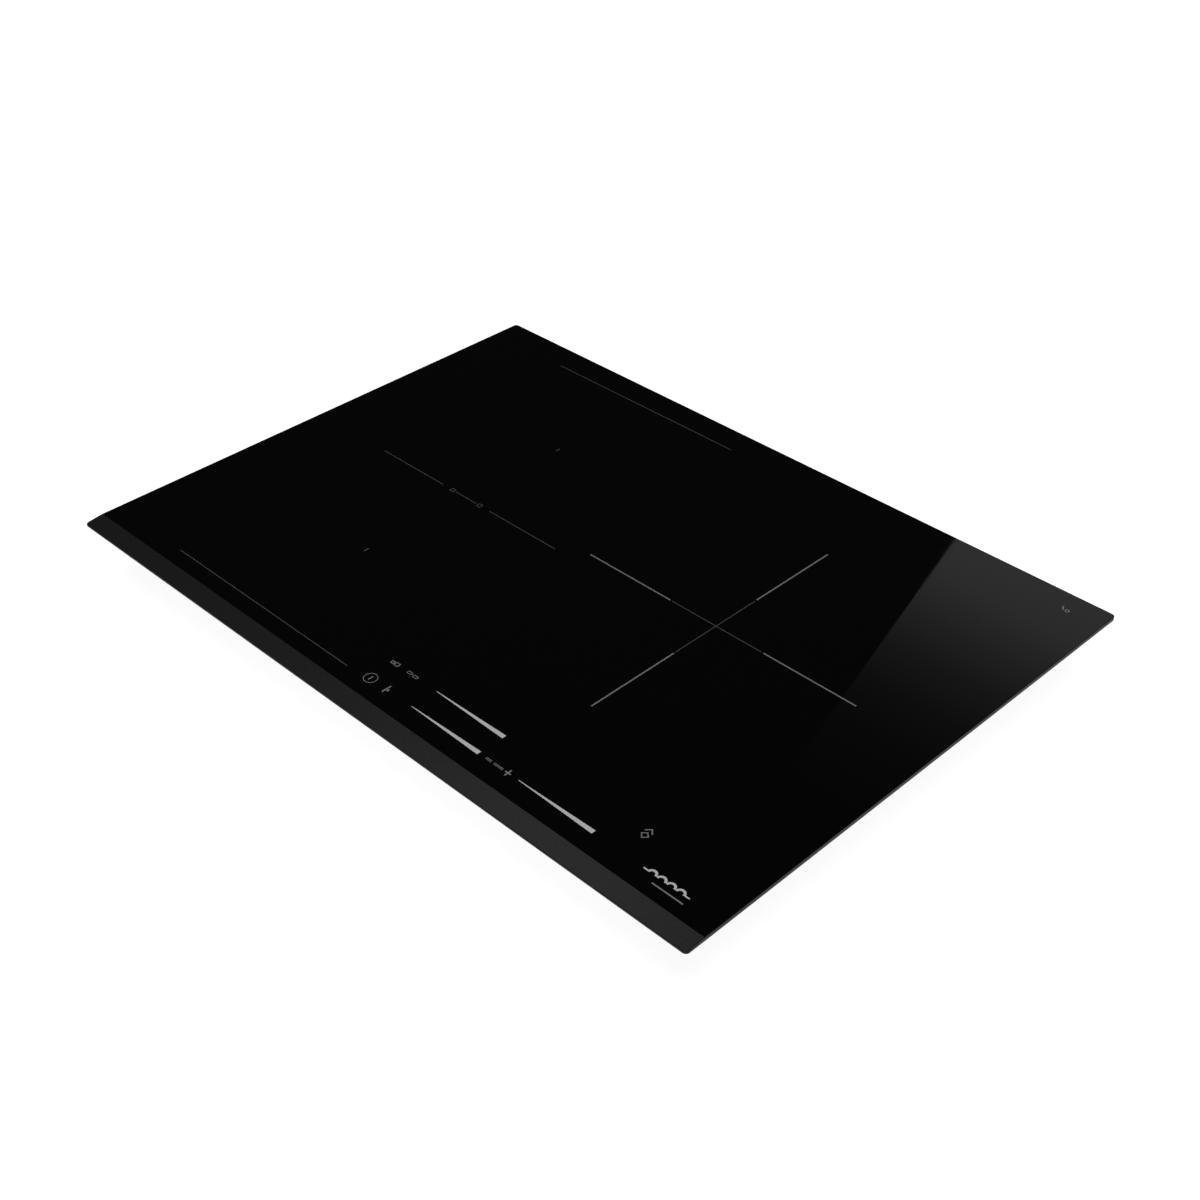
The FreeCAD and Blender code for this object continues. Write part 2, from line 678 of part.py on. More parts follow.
def sensor(name, x, y):
    stem_z = "coil_top + sensor_proud - sensor_height"
    stem = rod(f"{name}_sensor_stem", "sensor_radius", "sensor_height", x, y, stem_z)
    collar = rod(f"{name}_sensor_collar", "11", "1.5", x, y, f"{CARRIER_BOTTOM} - 1.5")
    node(f"temperature_sensor_{name}", fuse(f"{name}_sensor", [stem, collar]))


def carrier_springs(name, x, y, spread):
    length = size("coil_top") - size("winding_height") - size("carrier_thickness")
    length -= size("rim_bottom") + size("steel") + size("plate_thickness")
    springs = [
        spring(f"{name}_spring_{i}", "spring_radius", "spring_wire", 5, length, px, py, PLATE_TOP)
        for i, (px, py) in enumerate(spring_places(x, y, spread))
    ]
    node(f"carrier_springs_{name}", group(f"{name}_springs", springs))


def coil_leads(name, x, y, inner_reach):
    """Two wires from the power board up through the carrier to the innermost turn."""
    low = size("board_bottom") + size("board_thickness")
    high = size("coil_top") - size("winding_height") / 2
    wires = []
    for way in (-1, 1):
        foot = Vector(size(x) + way * (inner_reach - LEAD_RUN), size(y), low)
        bend = Vector(foot.x, foot.y, high)
        end = Vector(size(x) + way * (inner_reach - 0.1), size(y), high)
        wires.append(lead([foot, bend, end], LEAD_RADIUS))
    node(f"coil_leads_{name}", feature(f"{name}_leads", Part.makeCompound(wires)))


def make_left_coil(name, x, y):
    width, depth = "left_coil_width + 8", "left_coil_depth + 8"
    corner = "left_coil_corner / 2"
    blank = slab(f"{name}_carrier", width, depth, "carrier_thickness", x, y, CARRIER_BOTTOM, corner)
    count = 17
    inner = size("left_coil_width") / 2 - (count - 1) * size("wire_pitch") - size("wire_width")
    coil_carrier(name, blank, x, y, inner)
    winding(f"winding_{name}", turns(left_face, count), x, y)
    sheet = slab(f"{name}_mica", width, depth, "mica_thickness", x, y, "coil_top + mica_gap", corner)
    insulation(name, sheet, x, y)
    bars = [
        block(
            f"{name}_ferrite_{i}_{j}", "ferrite_width", "56", "ferrite_height",
            f"({x} + {-60 + 40 * i})", f"({y} + {52 * j})", f"{CARRIER_BOTTOM} - ferrite_height",
        )
        for i in range(4)
        for j in (-1, 1)
    ]
    node(f"ferrites_{name}", group(f"{name}_ferrites", bars))
    coil_leads(name, x, y, inner)


def make_right_coil(name, x, y):
    blank = rod("right_carrier", "right_coil_radius + 3", "carrier_thickness", x, y, CARRIER_BOTTOM)
    outer_count, inner_count = 11, 13
    outer, inner = size("right_coil_radius"), size("right_inner_radius")
    reach = inner - (inner_count - 1) * size("wire_pitch") - size("wire_width")
    coil_carrier(name, blank, x, y, reach)
    winding("winding_right_outer", turns(lambda inset: disc(outer - inset), outer_count), x, y)
    winding("winding_right_inner", turns(lambda inset: disc(inner - inset), inner_count), x, y)
    sheet = rod("right_mica", "right_coil_radius + 2", "mica_thickness", x, y, "coil_top + mica_gap")
    insulation(name, sheet, x, y)
    bars = []
    for i in range(RIGHT_FERRITES):
        bar = document.addObject("Part::Box", f"right_ferrite_{i}")
        bind(bar, {"Length": f"right_coil_radius - 10 - {FERRITE_START}", "Width": "ferrite_width"})
        bind(bar, {"Height": "ferrite_height"})
        angle = 360 / RIGHT_FERRITES * i
        bar.Placement = Placement(Vector(), Rotation(Vector(0, 0, 1), angle))
        along = f"{FERRITE_START} * cos({angle} deg) + ferrite_width / 2 * sin({angle} deg)"
        across = f"{FERRITE_START} * sin({angle} deg) - ferrite_width / 2 * cos({angle} deg)"
        bind(bar, {"Placement.Base.x": f"{x} + {along}", "Placement.Base.y": f"{y} + {across}"})
        bind(bar, {"Placement.Base.z": f"{CARRIER_BOTTOM} - ferrite_height"})
        bars.append(bar)
    node("ferrites_right", group("right_ferrites", bars))
    coil_leads(name, x, y, reach)


def make_coils():
    for name, x, y, spread in COILS:
        if name == "right":
            make_right_coil(name, x, y)
        else:
            make_left_coil(name, x, y)
        sensor(name, x, y)
        carrier_springs(name, x, y, spread)


# ---------------------------------------------------------------- power electronics
# each board: side, width, depth, middle x, middle y
BOARDS = [("left", 226, 326, -145, -42), ("right", 254, 290, 129, -60)]
SINKS = [("left", "left_fan_x", 300, -45), ("right", "right_fan_x", 270, -62)]
FILTER_BOARD = (138, 74, 181, 134)


def board(label, width, depth, x, y):
    numbers = [str(number) for number in (width, depth, "board_thickness", x, y, "board_bottom", 3)]
    node(label, slab(f"{label}_sheet", *numbers))


def spacer_places():
    """One spacer inside each corner of each board."""
    places = []
    inset = 7
    for width, depth, x, y in [board[1:] for board in BOARDS] + [FILTER_BOARD]:
        reach_x, reach_y = width / 2 - inset, depth / 2 - inset
        places += [(x + sx * reach_x, y + sy * reach_y) for sx in (-1, 1) for sy in (-1, 1)]
    return places


def heat_sink(side, x, length, y):
    """An extruded sink: a foot plate with upright fins along the air flow."""
    fins = 9
    foot = block(f"{side}_sink_foot", "sink_width", length, "sink_foot", x, str(y), BOARD_TOP)
    step = f"(sink_width - fin_thickness) / {fins - 1}"
    root = f"{BOARD_TOP} + sink_foot - 0.5"
    blades = [
        block(f"{side}_fin_{i}", "fin_thickness", length, "fin_height",
              f"({x} + {i - (fins - 1) / 2} * {step})", str(y), root)
        for i in range(fins)
    ]
    node(f"heat_sink_{side}", fuse(f"{side}_sink", [foot] + blades))


def make_electronics():
    for side, width, depth, x, y in BOARDS:
        board(f"power_board_{side}", width, depth, x, y)
    board("filter_board", *FILTER_BOARD)
    spacers = [
        rod(f"spacer_{i}", "3", f"board_bottom - ({TRAY_FLOOR})", str(x), str(y), TRAY_FLOOR)
        for i, (x, y) in enumerate(spacer_places())
    ]
    node("board_spacers", group("spacers", spacers))
    transistors = []
    for side, x, length, y in SINKS:
        heat_sink(side, x, length, y)
        for i in range(4):
            transistors.append(
                block(f"{side}_transistor_{i}", "4.8", "15.6", "18", f"({x} + sink_width / 2 + 2.4)",
                      str(y - 90 + 60 * i), BOARD_TOP)
            )
    node("power_transistors", group("transistors", transistors))
    capacitor_places = [(-100, -165), (-60, -165), (-100, -60), (-60, -60), (-100, 60), (-60, 60)]
    capacitor_places += [(120, -170), (160, -170), (200, -170), (185, -20), (225, -20)]
    case = ("capacitor_length", "capacitor_depth", "capacitor_height")
    capacitors = [
        block(f"capacitor_{i}", *case, str(x), str(y), BOARD_TOP)
        for i, (x, y) in enumerate(capacitor_places)
    ]
    node("film_capacitors", group("capacitors", capacitors))
    rings = []
    for i, (x, y) in enumerate([(-70, -10), (-70, 100), (130, -100), (215, 55), (150, 135), (205, 120)]):
        torus = document.addObject("Part::Torus", f"choke_{i}")
        bind(torus, {"Radius1": "choke_radius", "Radius2": "choke_section"})
        rings.append(place(torus, str(x), str(y), f"{BOARD_TOP} + choke_section"))
    node("chokes", group("choke_set", rings))


# ---------------------------------------------------------------- cooling fans
BLADES = 7


def fan_housing(side, x):
    square = slab(f"{side}_fan_square", "fan_size", "fan_size", "fan_height", x, "fan_y", TRAY_FLOOR, "6")
    duct = rod(f"{side}_fan_duct", "fan_bore", "fan_height + 2", x, "fan_y", f"{TRAY_FLOOR} - 1")
    shell = cut(f"{side}_fan_shell", square, [duct])
    motor = rod(f"{side}_motor_base", "17", "2", x, "fan_y", f"{FAN_TOP} - 2")
    arms = [
        block(f"{side}_arm_x", "2 * fan_bore + 1", "4", "2", x, "fan_y", f"{FAN_TOP} - 2"),
        block(f"{side}_arm_y", "4", "2 * fan_bore + 1", "2", x, "fan_y", f"{FAN_TOP} - 2"),
    ]
    whole = fuse(f"{side}_fan_body", [shell, motor] + arms)
    holes = [rod(f"{side}_shaft_hole", "fan_shaft + fit", "4", x, "fan_y", f"{FAN_TOP} - 3")]
    for sx in (-1, 1):
        for sy in (-1, 1):
            holes.append(
                rod(f"{side}_fan_hole_{sx}_{sy}", "screw_hole", "fan_height + 2",
                    f"({x} + {sx} * fan_screw)", f"(fan_y + {sy} * fan_screw)", f"{TRAY_FLOOR} - 1")
            )
    node(f"fan_housing_{side}", cut(f"{side}_fan_housing", whole, holes))


def fan_rotor(side, x):
    hub = rod(f"{side}_hub", "fan_hub", "10.9", x, "fan_y", f"{TRAY_FLOOR} + 1.3")
    shaft = rod(f"{side}_shaft", "fan_shaft", "fan_height - 12", x, "fan_y", f"{TRAY_FLOOR} + 12")
    middle = Vector(size(f"{side}_fan_x"), size("fan_y"), size("tray_bottom") + size("steel") + 6.5)
    blades = []
    for i in range(BLADES):
        blade = document.addObject("Part::Box", f"{side}_blade_{i}")
        bind(blade, {"Length": "fan_bore - fan_hub - 1", "Width": "12", "Height": "1.3"})
        spin = Rotation(Vector(0, 0, 1), 360 / BLADES * i)
        tilt = Rotation(Vector(1, 0, 0), 38)
        start = Placement(Vector(15, 0, 0), tilt) * Placement(Vector(0, -6, -0.65), Rotation())
        blade.Placement = Placement(middle, spin) * start
        blades.append(blade)
    node(f"fan_rotor_{side}", fuse(f"{side}_rotor", [hub, shaft] + blades))


def make_fans():
    for side in ("left", "right"):
        fan_housing(side, f"{side}_fan_x")
        fan_rotor(side, f"{side}_fan_x")


# ---------------------------------------------------------------- touch control
# touch keys and sliders: where each one's middle is, below its printed mark
TOUCH_KEYS = [(-10, -218.5), (8.5, -218.5), (-10, -193.5), (10, -193.5), (25, -206)]
TOUCH_KEYS += [(128, -206), (143.5, -206), (150, -193.5), (240, -206), (254, -193)]
SLIDERS = [("75", "-193.5"), ("75", "-218.5"), ("192", "-218.5")]


def make_control():
    node(
        "control_board",
        slab("control_sheet", "control_width", "control_depth", "board_thickness",
             "control_x", "control_y", "control_bottom", "2"),
    )
    height = f"control_bottom - ({PLATE_TOP})"
    wall = slab("bracket_outside", "control_width + 4", "control_depth + 3", height,
                "control_x", "control_y", PLATE_TOP, "4")
    well = slab("bracket_inside", "control_width - 2", "control_depth - 3", height,
                "control_x", "control_y", PLATE_TOP, "2")
    node("control_bracket", cut("bracket", wall, [well]))
    length = size("seal_thickness") - size("control_bottom") - size("board_thickness")
    wire = ("key_spring_radius", "key_spring_wire", 5)
    keys = [
        spring(f"key_spring_{i}", *wire, length, str(x), str(y), CONTROL_TOP)
        for i, (x, y) in enumerate(TOUCH_KEYS)
    ]
    node("touch_springs", group("key_springs", keys))
    lamp_height = f"seal_thickness - 0.3 - ({CONTROL_TOP})"
    lamps = [
        block(f"light_bar_{i}", "slider_length", "6", lamp_height, x, y, CONTROL_TOP)
        for i, (x, y) in enumerate(SLIDERS)
    ]
    node("light_guides", group("light_bars", lamps))


def ribbon():
    """A flat cable from the control board down to the right power board."""
    x = 12
    low = size("board_bottom") + size("board_thickness")
    points = [
        Vector(x, -188, size("control_bottom")),
        Vector(x, -188, size("control_bottom") - 12),
        Vector(x, -178, low + 10),
        Vector(x, -178, low),
    ]
    path = lead_path(points)
    half_width, half_thick = 7, 0.4
    corners = [(-1, -1), (1, -1), (1, 1), (-1, 1), (-1, -1)]
    outline = [points[0] + Vector(sx * half_width, sy * half_thick, 0) for sx, sy in corners]
    strip = path.makePipeShell([Part.makePolygon(outline)], True, False)
    assert abs(strip.Volume / (4 * half_width * half_thick * path.Length) - 1) < 0.05
    return strip


# ---------------------------------------------------------------- mains inlet
TERMINALS = 5
TERMINAL_PITCH = 11.5


def terminal_place(i):
    return size("terminal_x") + (i - (TERMINALS - 1) / 2) * TERMINAL_PITCH


def make_inlet():
    middle = "(inlet_left + inlet_width / 2)"
    depth = "inlet_back - inlet_front"
    outside = block(
        "inlet_outside", "inlet_width", depth, "inlet_height",
        middle, "(inlet_front + inlet_back) / 2", TRAY_FLOOR,
    )
    cavity_height = "inlet_height - 2 * inlet_wall"
    cavity_z = f"{TRAY_FLOOR} + inlet_wall"
    block_depth = "10"
    chamber = block(
        "inlet_chamber", "inlet_width - 2 * inlet_wall", f"{depth} - inlet_wall - {block_depth}",
        cavity_height, middle, f"(inlet_front + inlet_wall + inlet_back - {block_depth}) / 2", cavity_z,
    )
    mouth_right = "inlet_left + 72"
    mouth_left = "inlet_left + inlet_wall"
    mouth = block(
        "inlet_mouth", f"{mouth_right} - ({mouth_left})", f"{block_depth} + 2", cavity_height,
        f"({mouth_right} + {mouth_left}) / 2", f"(inlet_back - {block_depth} / 2)", cavity_z,
    )
    bore = rod("cable_bore", "cable_radius", f"{block_depth} + 2", "cable_x",
               f"inlet_back - {block_depth} - 1", "cable_z", "Y")
    wire_slot = block("wire_slot", "56", "6", "7", "terminal_x", "inlet_front", f"{TRAY_FLOOR} + 8")
    hollowed = cut("inlet_hollowed", outside, [chamber, mouth, bore, wire_slot])
    ear_height = f"cover_axis_z - ({TRAY_FLOOR}) + 2.6"
    ears = [
        block(f"cover_ear_{i}", "4", "cover_axis_y + 2 - inlet_back + 1", ear_height, x,
              "(cover_axis_y + 2 + inlet_back - 1) / 2", TRAY_FLOOR)
        for i, x in enumerate(["(inlet_left + 4)", "(inlet_left + 70)"])
    ]
    whole = fuse("inlet_with_ears", [hollowed] + ears)
    hinge_line = ("cover_axis_y", "cover_axis_z", "X")
    pin_hole = rod("cover_pin_hole", "1.2 + fit", "80", "inlet_left - 2", *hinge_line)
    node("terminal_housing", cut("inlet", whole, [pin_hole]))

    barrel = rod("cover_barrel", "1.9", "61", "inlet_left + 6.5", *hinge_line)
    pin = rod("cover_pin", "1.2", "69", "inlet_left + 2.5", *hinge_line)
    flap_height = f"{TRAY_FLOOR} + inlet_height - cover_axis_z"
    flap = block(
        "cover_flap", "61", "2", flap_height, "(inlet_left + 37)", "(cover_axis_y - 0.3)", "cover_axis_z"
    )
    ribs = [
        block(f"cover_rib_{i}", "40", "0.9", "1.4", "(inlet_left + 37)", "(cover_axis_y + 1)",
              f"cover_axis_z + {12 + 3 * i}")
        for i in range(3)
    ]
    node("terminal_cover", fuse("cover", [barrel, pin, flap] + ribs))

    floor_z, terminal_y = f"{TRAY_FLOOR} + inlet_wall", "(inlet_front + 15)"
    base = block("terminal_body", "60", "18", "14", "terminal_x", terminal_y, floor_z)
    pockets = [
        rod(f"terminal_pocket_{i}", "3.6", "8", str(terminal_place(i)), terminal_y, f"{floor_z} + 10")
        for i in range(TERMINALS)
    ]
    node("terminal_block", cut("terminals", base, pockets))
    screws = [
        screw(f"terminal_screw_{i}", "1.6", "1", "3.2", "2",
              str(terminal_place(i)), terminal_y, f"{floor_z} + 11", False)
        for i in range(TERMINALS)
    ]
    bar_y, bar_z, bar_thickness = "(inlet_front + 28)", "cable_z + cable_radius - 1", "3"
    bar_screws = [f"(cable_x + {way * 9})" for way in (-1, 1)]
    bar = block("cable_clamp_bar", "23", "9", bar_thickness, "cable_x", bar_y, bar_z)
    bar_holes = [
        rod(f"clamp_bar_hole_{i}", "screw_hole", "6", x, bar_y, "cable_z + 3")
        for i, x in enumerate(bar_screws)
    ]
    node("cable_clamp", cut("cable_clamp_cut", bar, bar_holes))
    under_head = f"{bar_z} + {bar_thickness}"
    screws += [
        screw(f"clamp_bar_screw_{i}", "screw_shank", f"{under_head} - ({floor_z})", "2.4", "1.4",
              x, bar_y, under_head, False)
        for i, x in enumerate(bar_screws)
    ]
    node("inlet_screws", group("inlet_screw_set", screws))


def make_wiring():
    """The control's ribbon cable, and three wires from the terminal block to the filter board."""
    wires = [ribbon()]
    for i in (1, 2, 3):
        start = Vector(terminal_place(i), size("inlet_front") + 6, -34)
        bend = Vector(start.x, 166, start.z)
        end = Vector(start.x, bend.y, size("board_bottom") + size("board_thickness"))
        wires.append(lead([start, bend, end], LEAD_RADIUS))
    node("inner_wiring", feature("wiring_set", Part.makeCompound(wires)))


# ---------------------------------------------------------------- fixing to the worktop
def swing_clamp(which, sx, sy):
    """A sleeve on the clamp's screw with an arm that lies along the tray until it is swung out."""
    x, y = f"({sx} * clamp_x)", f"({sy} * clamp_y)"
    arm_z = "tray_bottom + 6.4"
    arm_y, tooth_y = (
        f"({sy} * (clamp_y - {back}))" for back in ("clamp_arm / 2", "clamp_arm + clamp_plate / 2")
    )
    sleeve = rod(f"{which}_sleeve", "clamp_width / 2 - 0.6", "10", x, y, "tray_bottom + 3.8")
    eye = rod(f"{which}_eye", "clamp_width / 2", "clamp_plate", x, y, arm_z)
    arm = block(f"{which}_arm", "clamp_width", "clamp_arm", "clamp_plate", x, arm_y, arm_z)
    tooth = block(f"{which}_tooth", "clamp_width", "clamp_plate", "4.5", x, tooth_y, arm_z)
    whole = fuse(f"{which}_clamp_blank", [sleeve, eye, arm, tooth])
    bore = rod(f"{which}_clamp_bore", "clamp_screw + fit", "20", x, y, "tray_bottom")
    node(f"swing_clamp_{which}", cut(f"{which}_clamp", whole, [bore]))


def bow(z_middle):
    """A leaf spring bowed outwards from the rim's side, as a flat section 12 wide."""
    reach, half, thick, wide = 2.2, 7, 0.5, 12
    flat = size("rim_width") / 2
    outer = [Vector(flat, 0, -half), Vector(flat + reach, 0, 0), Vector(flat, 0, half)]
    inner = [Vector(flat, 0, half - 1.2), Vector(flat + reach - thick, 0, 0), Vector(flat, 0, -half + 1.2)]
    edges = [Part.Arc(*outer), Part.LineSegment(outer[2], inner[0]), Part.Arc(*inner)]
    edges.append(Part.LineSegment(inner[2], outer[0]))
    strip = Part.Face(Part.Wire([edge.toShape() for edge in edges])).extrude(Vector(0, wide, 0))
    strip.translate(Vector(0, -wide / 2, z_middle))
    return strip


def make_fixing():
    screws = []
    under_head = "tray_bottom + 3.6"
    for which, sx, sy in CLAMPS:
        swing_clamp(which, sx, sy)
        screws.append(
            screw(f"{which}_clamp_screw", "clamp_screw", f"rim_bottom + steel - ({under_head})", "3.7", "2",
                  f"({sx} * clamp_x)", f"({sy} * clamp_y)", under_head, True)
        )
    node("clamp_screws", group("clamp_screw_set", screws))
    springs = []
    for y in (-185, 185):
        for angle in (0, 180):
            strip = bow(-8.5)
            strip.rotate(Vector(), Vector(0, 0, 1), angle)
            strip.translate(Vector(0, y, 0))
            springs.append(strip)
    node("centring_springs", feature("bows", Part.makeCompound(springs)))


# ---------------------------------------------------------------- build, check and write
def check(thing):
    shape = thing.Shape
    assert not shape.isNull(), thing.Label
    assert shape.isValid(), thing.Label
    assert shape.Solids, thing.Label


make_glass()
make_seal_and_bead()
make_rim()
make_tray()
make_case_screws()
make_coil_plates()
make_coils()
make_electronics()
make_fans()
make_control()
make_inlet()
make_wiring()
make_fixing()
document.recompute()

for thing in document.Objects:
    assert not {"Invalid", "Error"} & set(thing.State), f"{thing.Label}: {thing.State}"
for thing in nodes.values():
    check(thing)

os.makedirs("parts", exist_ok=True)
for label, thing in nodes.items():
    thing.Shape.exportStep(os.path.join("parts", f"{label}.step"))
print(f"{len(nodes)} nodes written")
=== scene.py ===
import math

import bmesh
import bpy
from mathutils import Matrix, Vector


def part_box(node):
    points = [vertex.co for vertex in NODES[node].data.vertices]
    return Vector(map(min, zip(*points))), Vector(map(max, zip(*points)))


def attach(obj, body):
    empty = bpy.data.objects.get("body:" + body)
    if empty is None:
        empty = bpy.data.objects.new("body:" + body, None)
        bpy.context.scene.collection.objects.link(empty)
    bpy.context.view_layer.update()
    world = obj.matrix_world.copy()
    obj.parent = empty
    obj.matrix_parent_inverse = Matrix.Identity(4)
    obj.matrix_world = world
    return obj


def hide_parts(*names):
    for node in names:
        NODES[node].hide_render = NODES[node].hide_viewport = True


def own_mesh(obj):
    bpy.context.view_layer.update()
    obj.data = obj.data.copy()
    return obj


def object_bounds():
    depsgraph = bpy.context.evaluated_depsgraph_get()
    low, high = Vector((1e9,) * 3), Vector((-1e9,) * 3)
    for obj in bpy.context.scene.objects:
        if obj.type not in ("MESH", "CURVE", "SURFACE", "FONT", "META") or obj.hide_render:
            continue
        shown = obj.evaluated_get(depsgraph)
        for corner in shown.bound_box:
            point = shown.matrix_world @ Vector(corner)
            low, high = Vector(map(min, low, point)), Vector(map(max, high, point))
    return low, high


MM = 0.001

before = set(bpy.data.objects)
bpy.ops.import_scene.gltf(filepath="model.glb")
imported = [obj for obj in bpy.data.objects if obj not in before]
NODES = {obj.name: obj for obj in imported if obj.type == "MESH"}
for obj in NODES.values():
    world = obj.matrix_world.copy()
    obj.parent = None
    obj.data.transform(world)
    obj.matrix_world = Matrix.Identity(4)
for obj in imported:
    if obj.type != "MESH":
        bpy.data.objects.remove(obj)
CAD_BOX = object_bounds()

GLASS_LOW, GLASS_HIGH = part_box("glass_top")
GLASS_MIDDLE = (GLASS_LOW + GLASS_HIGH) / 2
TOP = GLASS_HIGH.z
LEVEL = 0.01 * MM  # a point within this of the top is on the flat top
# the line where the flat top meets the front bevel
RIDGE = min(v.co.y for v in NODES["glass_top"].data.vertices if v.co.z > TOP - LEVEL)


# ---------------------------------------------------------------- materials
class Look:
    """A Principled material, with short calls for the nodes that feed it. Lengths are in metres."""

    def __init__(self, name, colour, roughness, metallic=0.0, **sockets):
        self.material = bpy.data.materials.new(name)
        self.material.use_nodes = True
        self.tree = self.material.node_tree
        self.shader = self.tree.nodes["Principled BSDF"]
        self.colour = colour
        self.set("Base Color", (*colour, 1.0))
        self.set("Roughness", roughness)
        self.set("Metallic", metallic)
        for socket, value in sockets.items():
            self.set(socket.replace("_", " "), value)
        self.place = self.add("ShaderNodeTexCoord").outputs["Object"]
        self.last_bump = None

    def add(self, kind, **settings):
        node = self.tree.nodes.new(kind)
        for name, value in settings.items():
            setattr(node, name, value)
        return node

    def link(self, output, socket):
        self.tree.links.new(output, socket)

    def set(self, socket, value):
        self.shader.inputs[socket].default_value = value

    def feed(self, socket, output):
        self.link(output, self.shader.inputs[socket])

    def stretched(self, x, y, z):
        """The place on the object, scaled per axis, so that a pattern comes out stretched."""
        mapping = self.add("ShaderNodeMapping")
        mapping.inputs["Scale"].default_value = (x, y, z)
        self.link(self.place, mapping.inputs["Vector"])
        return mapping.outputs["Vector"]

    def warped(self, size, reach):
        """The place on the object, pushed about by noise, so that cells get uneven outlines."""
        noise = self.add("ShaderNodeTexNoise")
        noise.inputs["Scale"].default_value = 1.0 / size
        self.link(self.place, noise.inputs["Vector"])
        push = self.add("ShaderNodeVectorMath", operation="SCALE")
        self.link(noise.outputs["Color"], push.inputs[0])
        push.inputs["Scale"].default_value = reach
        moved = self.add("ShaderNodeVectorMath", operation="ADD")
        self.link(self.place, moved.inputs[0])
        self.link(push.outputs[0], moved.inputs[1])
        return moved.outputs[0]

    def noise(self, size, detail=3.0, roughness=0.55, at=None):
        """Noise whose features are about size across."""
        node = self.add("ShaderNodeTexNoise")
        node.inputs["Scale"].default_value = 1.0 / size
        node.inputs["Detail"].default_value = detail
        node.inputs["Roughness"].default_value = roughness
        self.link(at or self.place, node.inputs["Vector"])
        return node.outputs["Fac"]

    def cells(self, size, output="Color", at=None):
        """Cells about size across: a random colour for each, or the distance to its middle."""
        node = self.add("ShaderNodeTexVoronoi")
        node.inputs["Scale"].default_value = 1.0 / size
        self.link(at or self.place, node.inputs["Vector"])
        return node.outputs[output]

    def span(self, value, low, high, start=0.0, end=1.0):
        """The value, moved from start…end to low…high and held there."""
        node = self.add("ShaderNodeMapRange")
        limits = {"From Min": start, "From Max": end, "To Min": low, "To Max": high}
        for name, number in limits.items():
            node.inputs[name].default_value = number
        self.link(value, node.inputs["Value"])
        return node.outputs["Result"]

    def maths(self, operation, a, b=None):
        """The operation on a and b, each a number or an output."""
        node = self.add("ShaderNodeMath", operation=operation)
        for socket, value in zip(node.inputs, (a, b)):
            if isinstance(value, (int, float)):
                socket.default_value = value
            elif value is not None:
                self.link(value, socket)
        return node.outputs[0]

    def blend(self, share, a, b):
        """Colour a turning into colour b by the share."""
        node = self.add("ShaderNodeMix", data_type="RGBA")
        self.link(share, node.inputs["Factor"])
        for socket, value in ((node.inputs["A"], a), (node.inputs["B"], b)):
            if isinstance(value, tuple):
                socket.default_value = (*value, 1.0)
            else:
                self.link(value, socket)
        return node.outputs["Result"]

    def between(self, share, a, b):
        """Number a turning into number b by the share; both are outputs."""
        node = self.add("ShaderNodeMix", data_type="FLOAT")
        for socket, output in (("Factor", share), ("A", a), ("B", b)):
            self.link(output, node.inputs[socket])
        return node.outputs["Result"]

    def parts(self, value):
        node = self.add("ShaderNodeSeparateXYZ")
        self.link(value, node.inputs[0])
        return node.outputs

    def shades(self, share, spread):
        """The base colour, darker and lighter by the spread as the share goes from 0 to 1."""
        dark = tuple(c * (1 - spread) for c in self.colour)
        light = tuple(min(1.0, c * (1 + spread)) for c in self.colour)
        self.feed("Base Color", self.blend(share, dark, light))

    def bump(self, height, depth, strength=1.0):
        """Relief depth metres deep, on top of any earlier relief."""
        node = self.add("ShaderNodeBump")
        node.inputs["Strength"].default_value = strength
        node.inputs["Distance"].default_value = depth
        self.link(height, node.inputs["Height"])
        if self.last_bump:
            self.link(self.last_bump, node.inputs["Normal"])
        self.last_bump = node.outputs["Normal"]
        self.feed("Normal", self.last_bump)

    def show(self, shader_output):
        """This shader's output is what the material shows, in place of the Principled one's."""
        self.link(shader_output, self.tree.nodes["Material Output"].inputs["Surface"])


def grey(level):
    return (level, level, level)


def ceramic_glass():
    """Polished black glass ceramic. Its ground edges and front bevel are satin."""
    look = Look("black_glass", grey(0.0006), 0.03, IOR=1.5)
    y, z = look.parts(look.place)[1:3]
    facing_up = look.parts(look.add("ShaderNodeNewGeometry").outputs["Normal"])[2]
    edge = look.span(look.maths("ABSOLUTE", facing_up), 1.0, 0.0, start=0.90, end=0.97)
    ahead = look.span(y, 1.0, 0.0, start=RIDGE - 0.2 * MM, end=RIDGE)
    above = look.span(z, 0.0, 1.0, start=GLASS_LOW.z + 0.5 * MM, end=GLASS_LOW.z + MM)
    bevel = look.maths("MULTIPLY", ahead, above)
    ground = look.maths("MAXIMUM", edge, bevel)
    smear = look.span(look.noise(0.06, 4), 0.008, 0.035, start=0.35, end=0.7)
    grit = look.span(look.noise(0.0006, 2), 0.24, 0.33)
    look.feed("Roughness", look.between(ground, smear, grit))
    polished = look.blend(look.noise(0.0008, 2), grey(0.0004), grey(0.0008))
    frosted = look.blend(look.noise(0.0005, 3), grey(0.0045), grey(0.007))
    look.feed("Base Color", look.blend(bevel, polished, frosted))
    look.bump(look.noise(0.045, 1), 0.00001, 0.25)
    look.bump(look.maths("MULTIPLY", look.noise(0.0005, 2), ground), 0.00001, 0.4)
    return look.material


def ink(name, colour):
    """Screen-printed ceramic ink: slightly uneven cover and a dry, fine-grained surface."""
    look = Look(name, colour, 0.5)
    look.shades(look.noise(0.00075, 4), 0.18)
    look.feed("Roughness", look.span(look.noise(0.001, 2), 0.42, 0.6))
    look.bump(look.noise(0.00025, 2), 0.00001, 0.5)
    return look.material


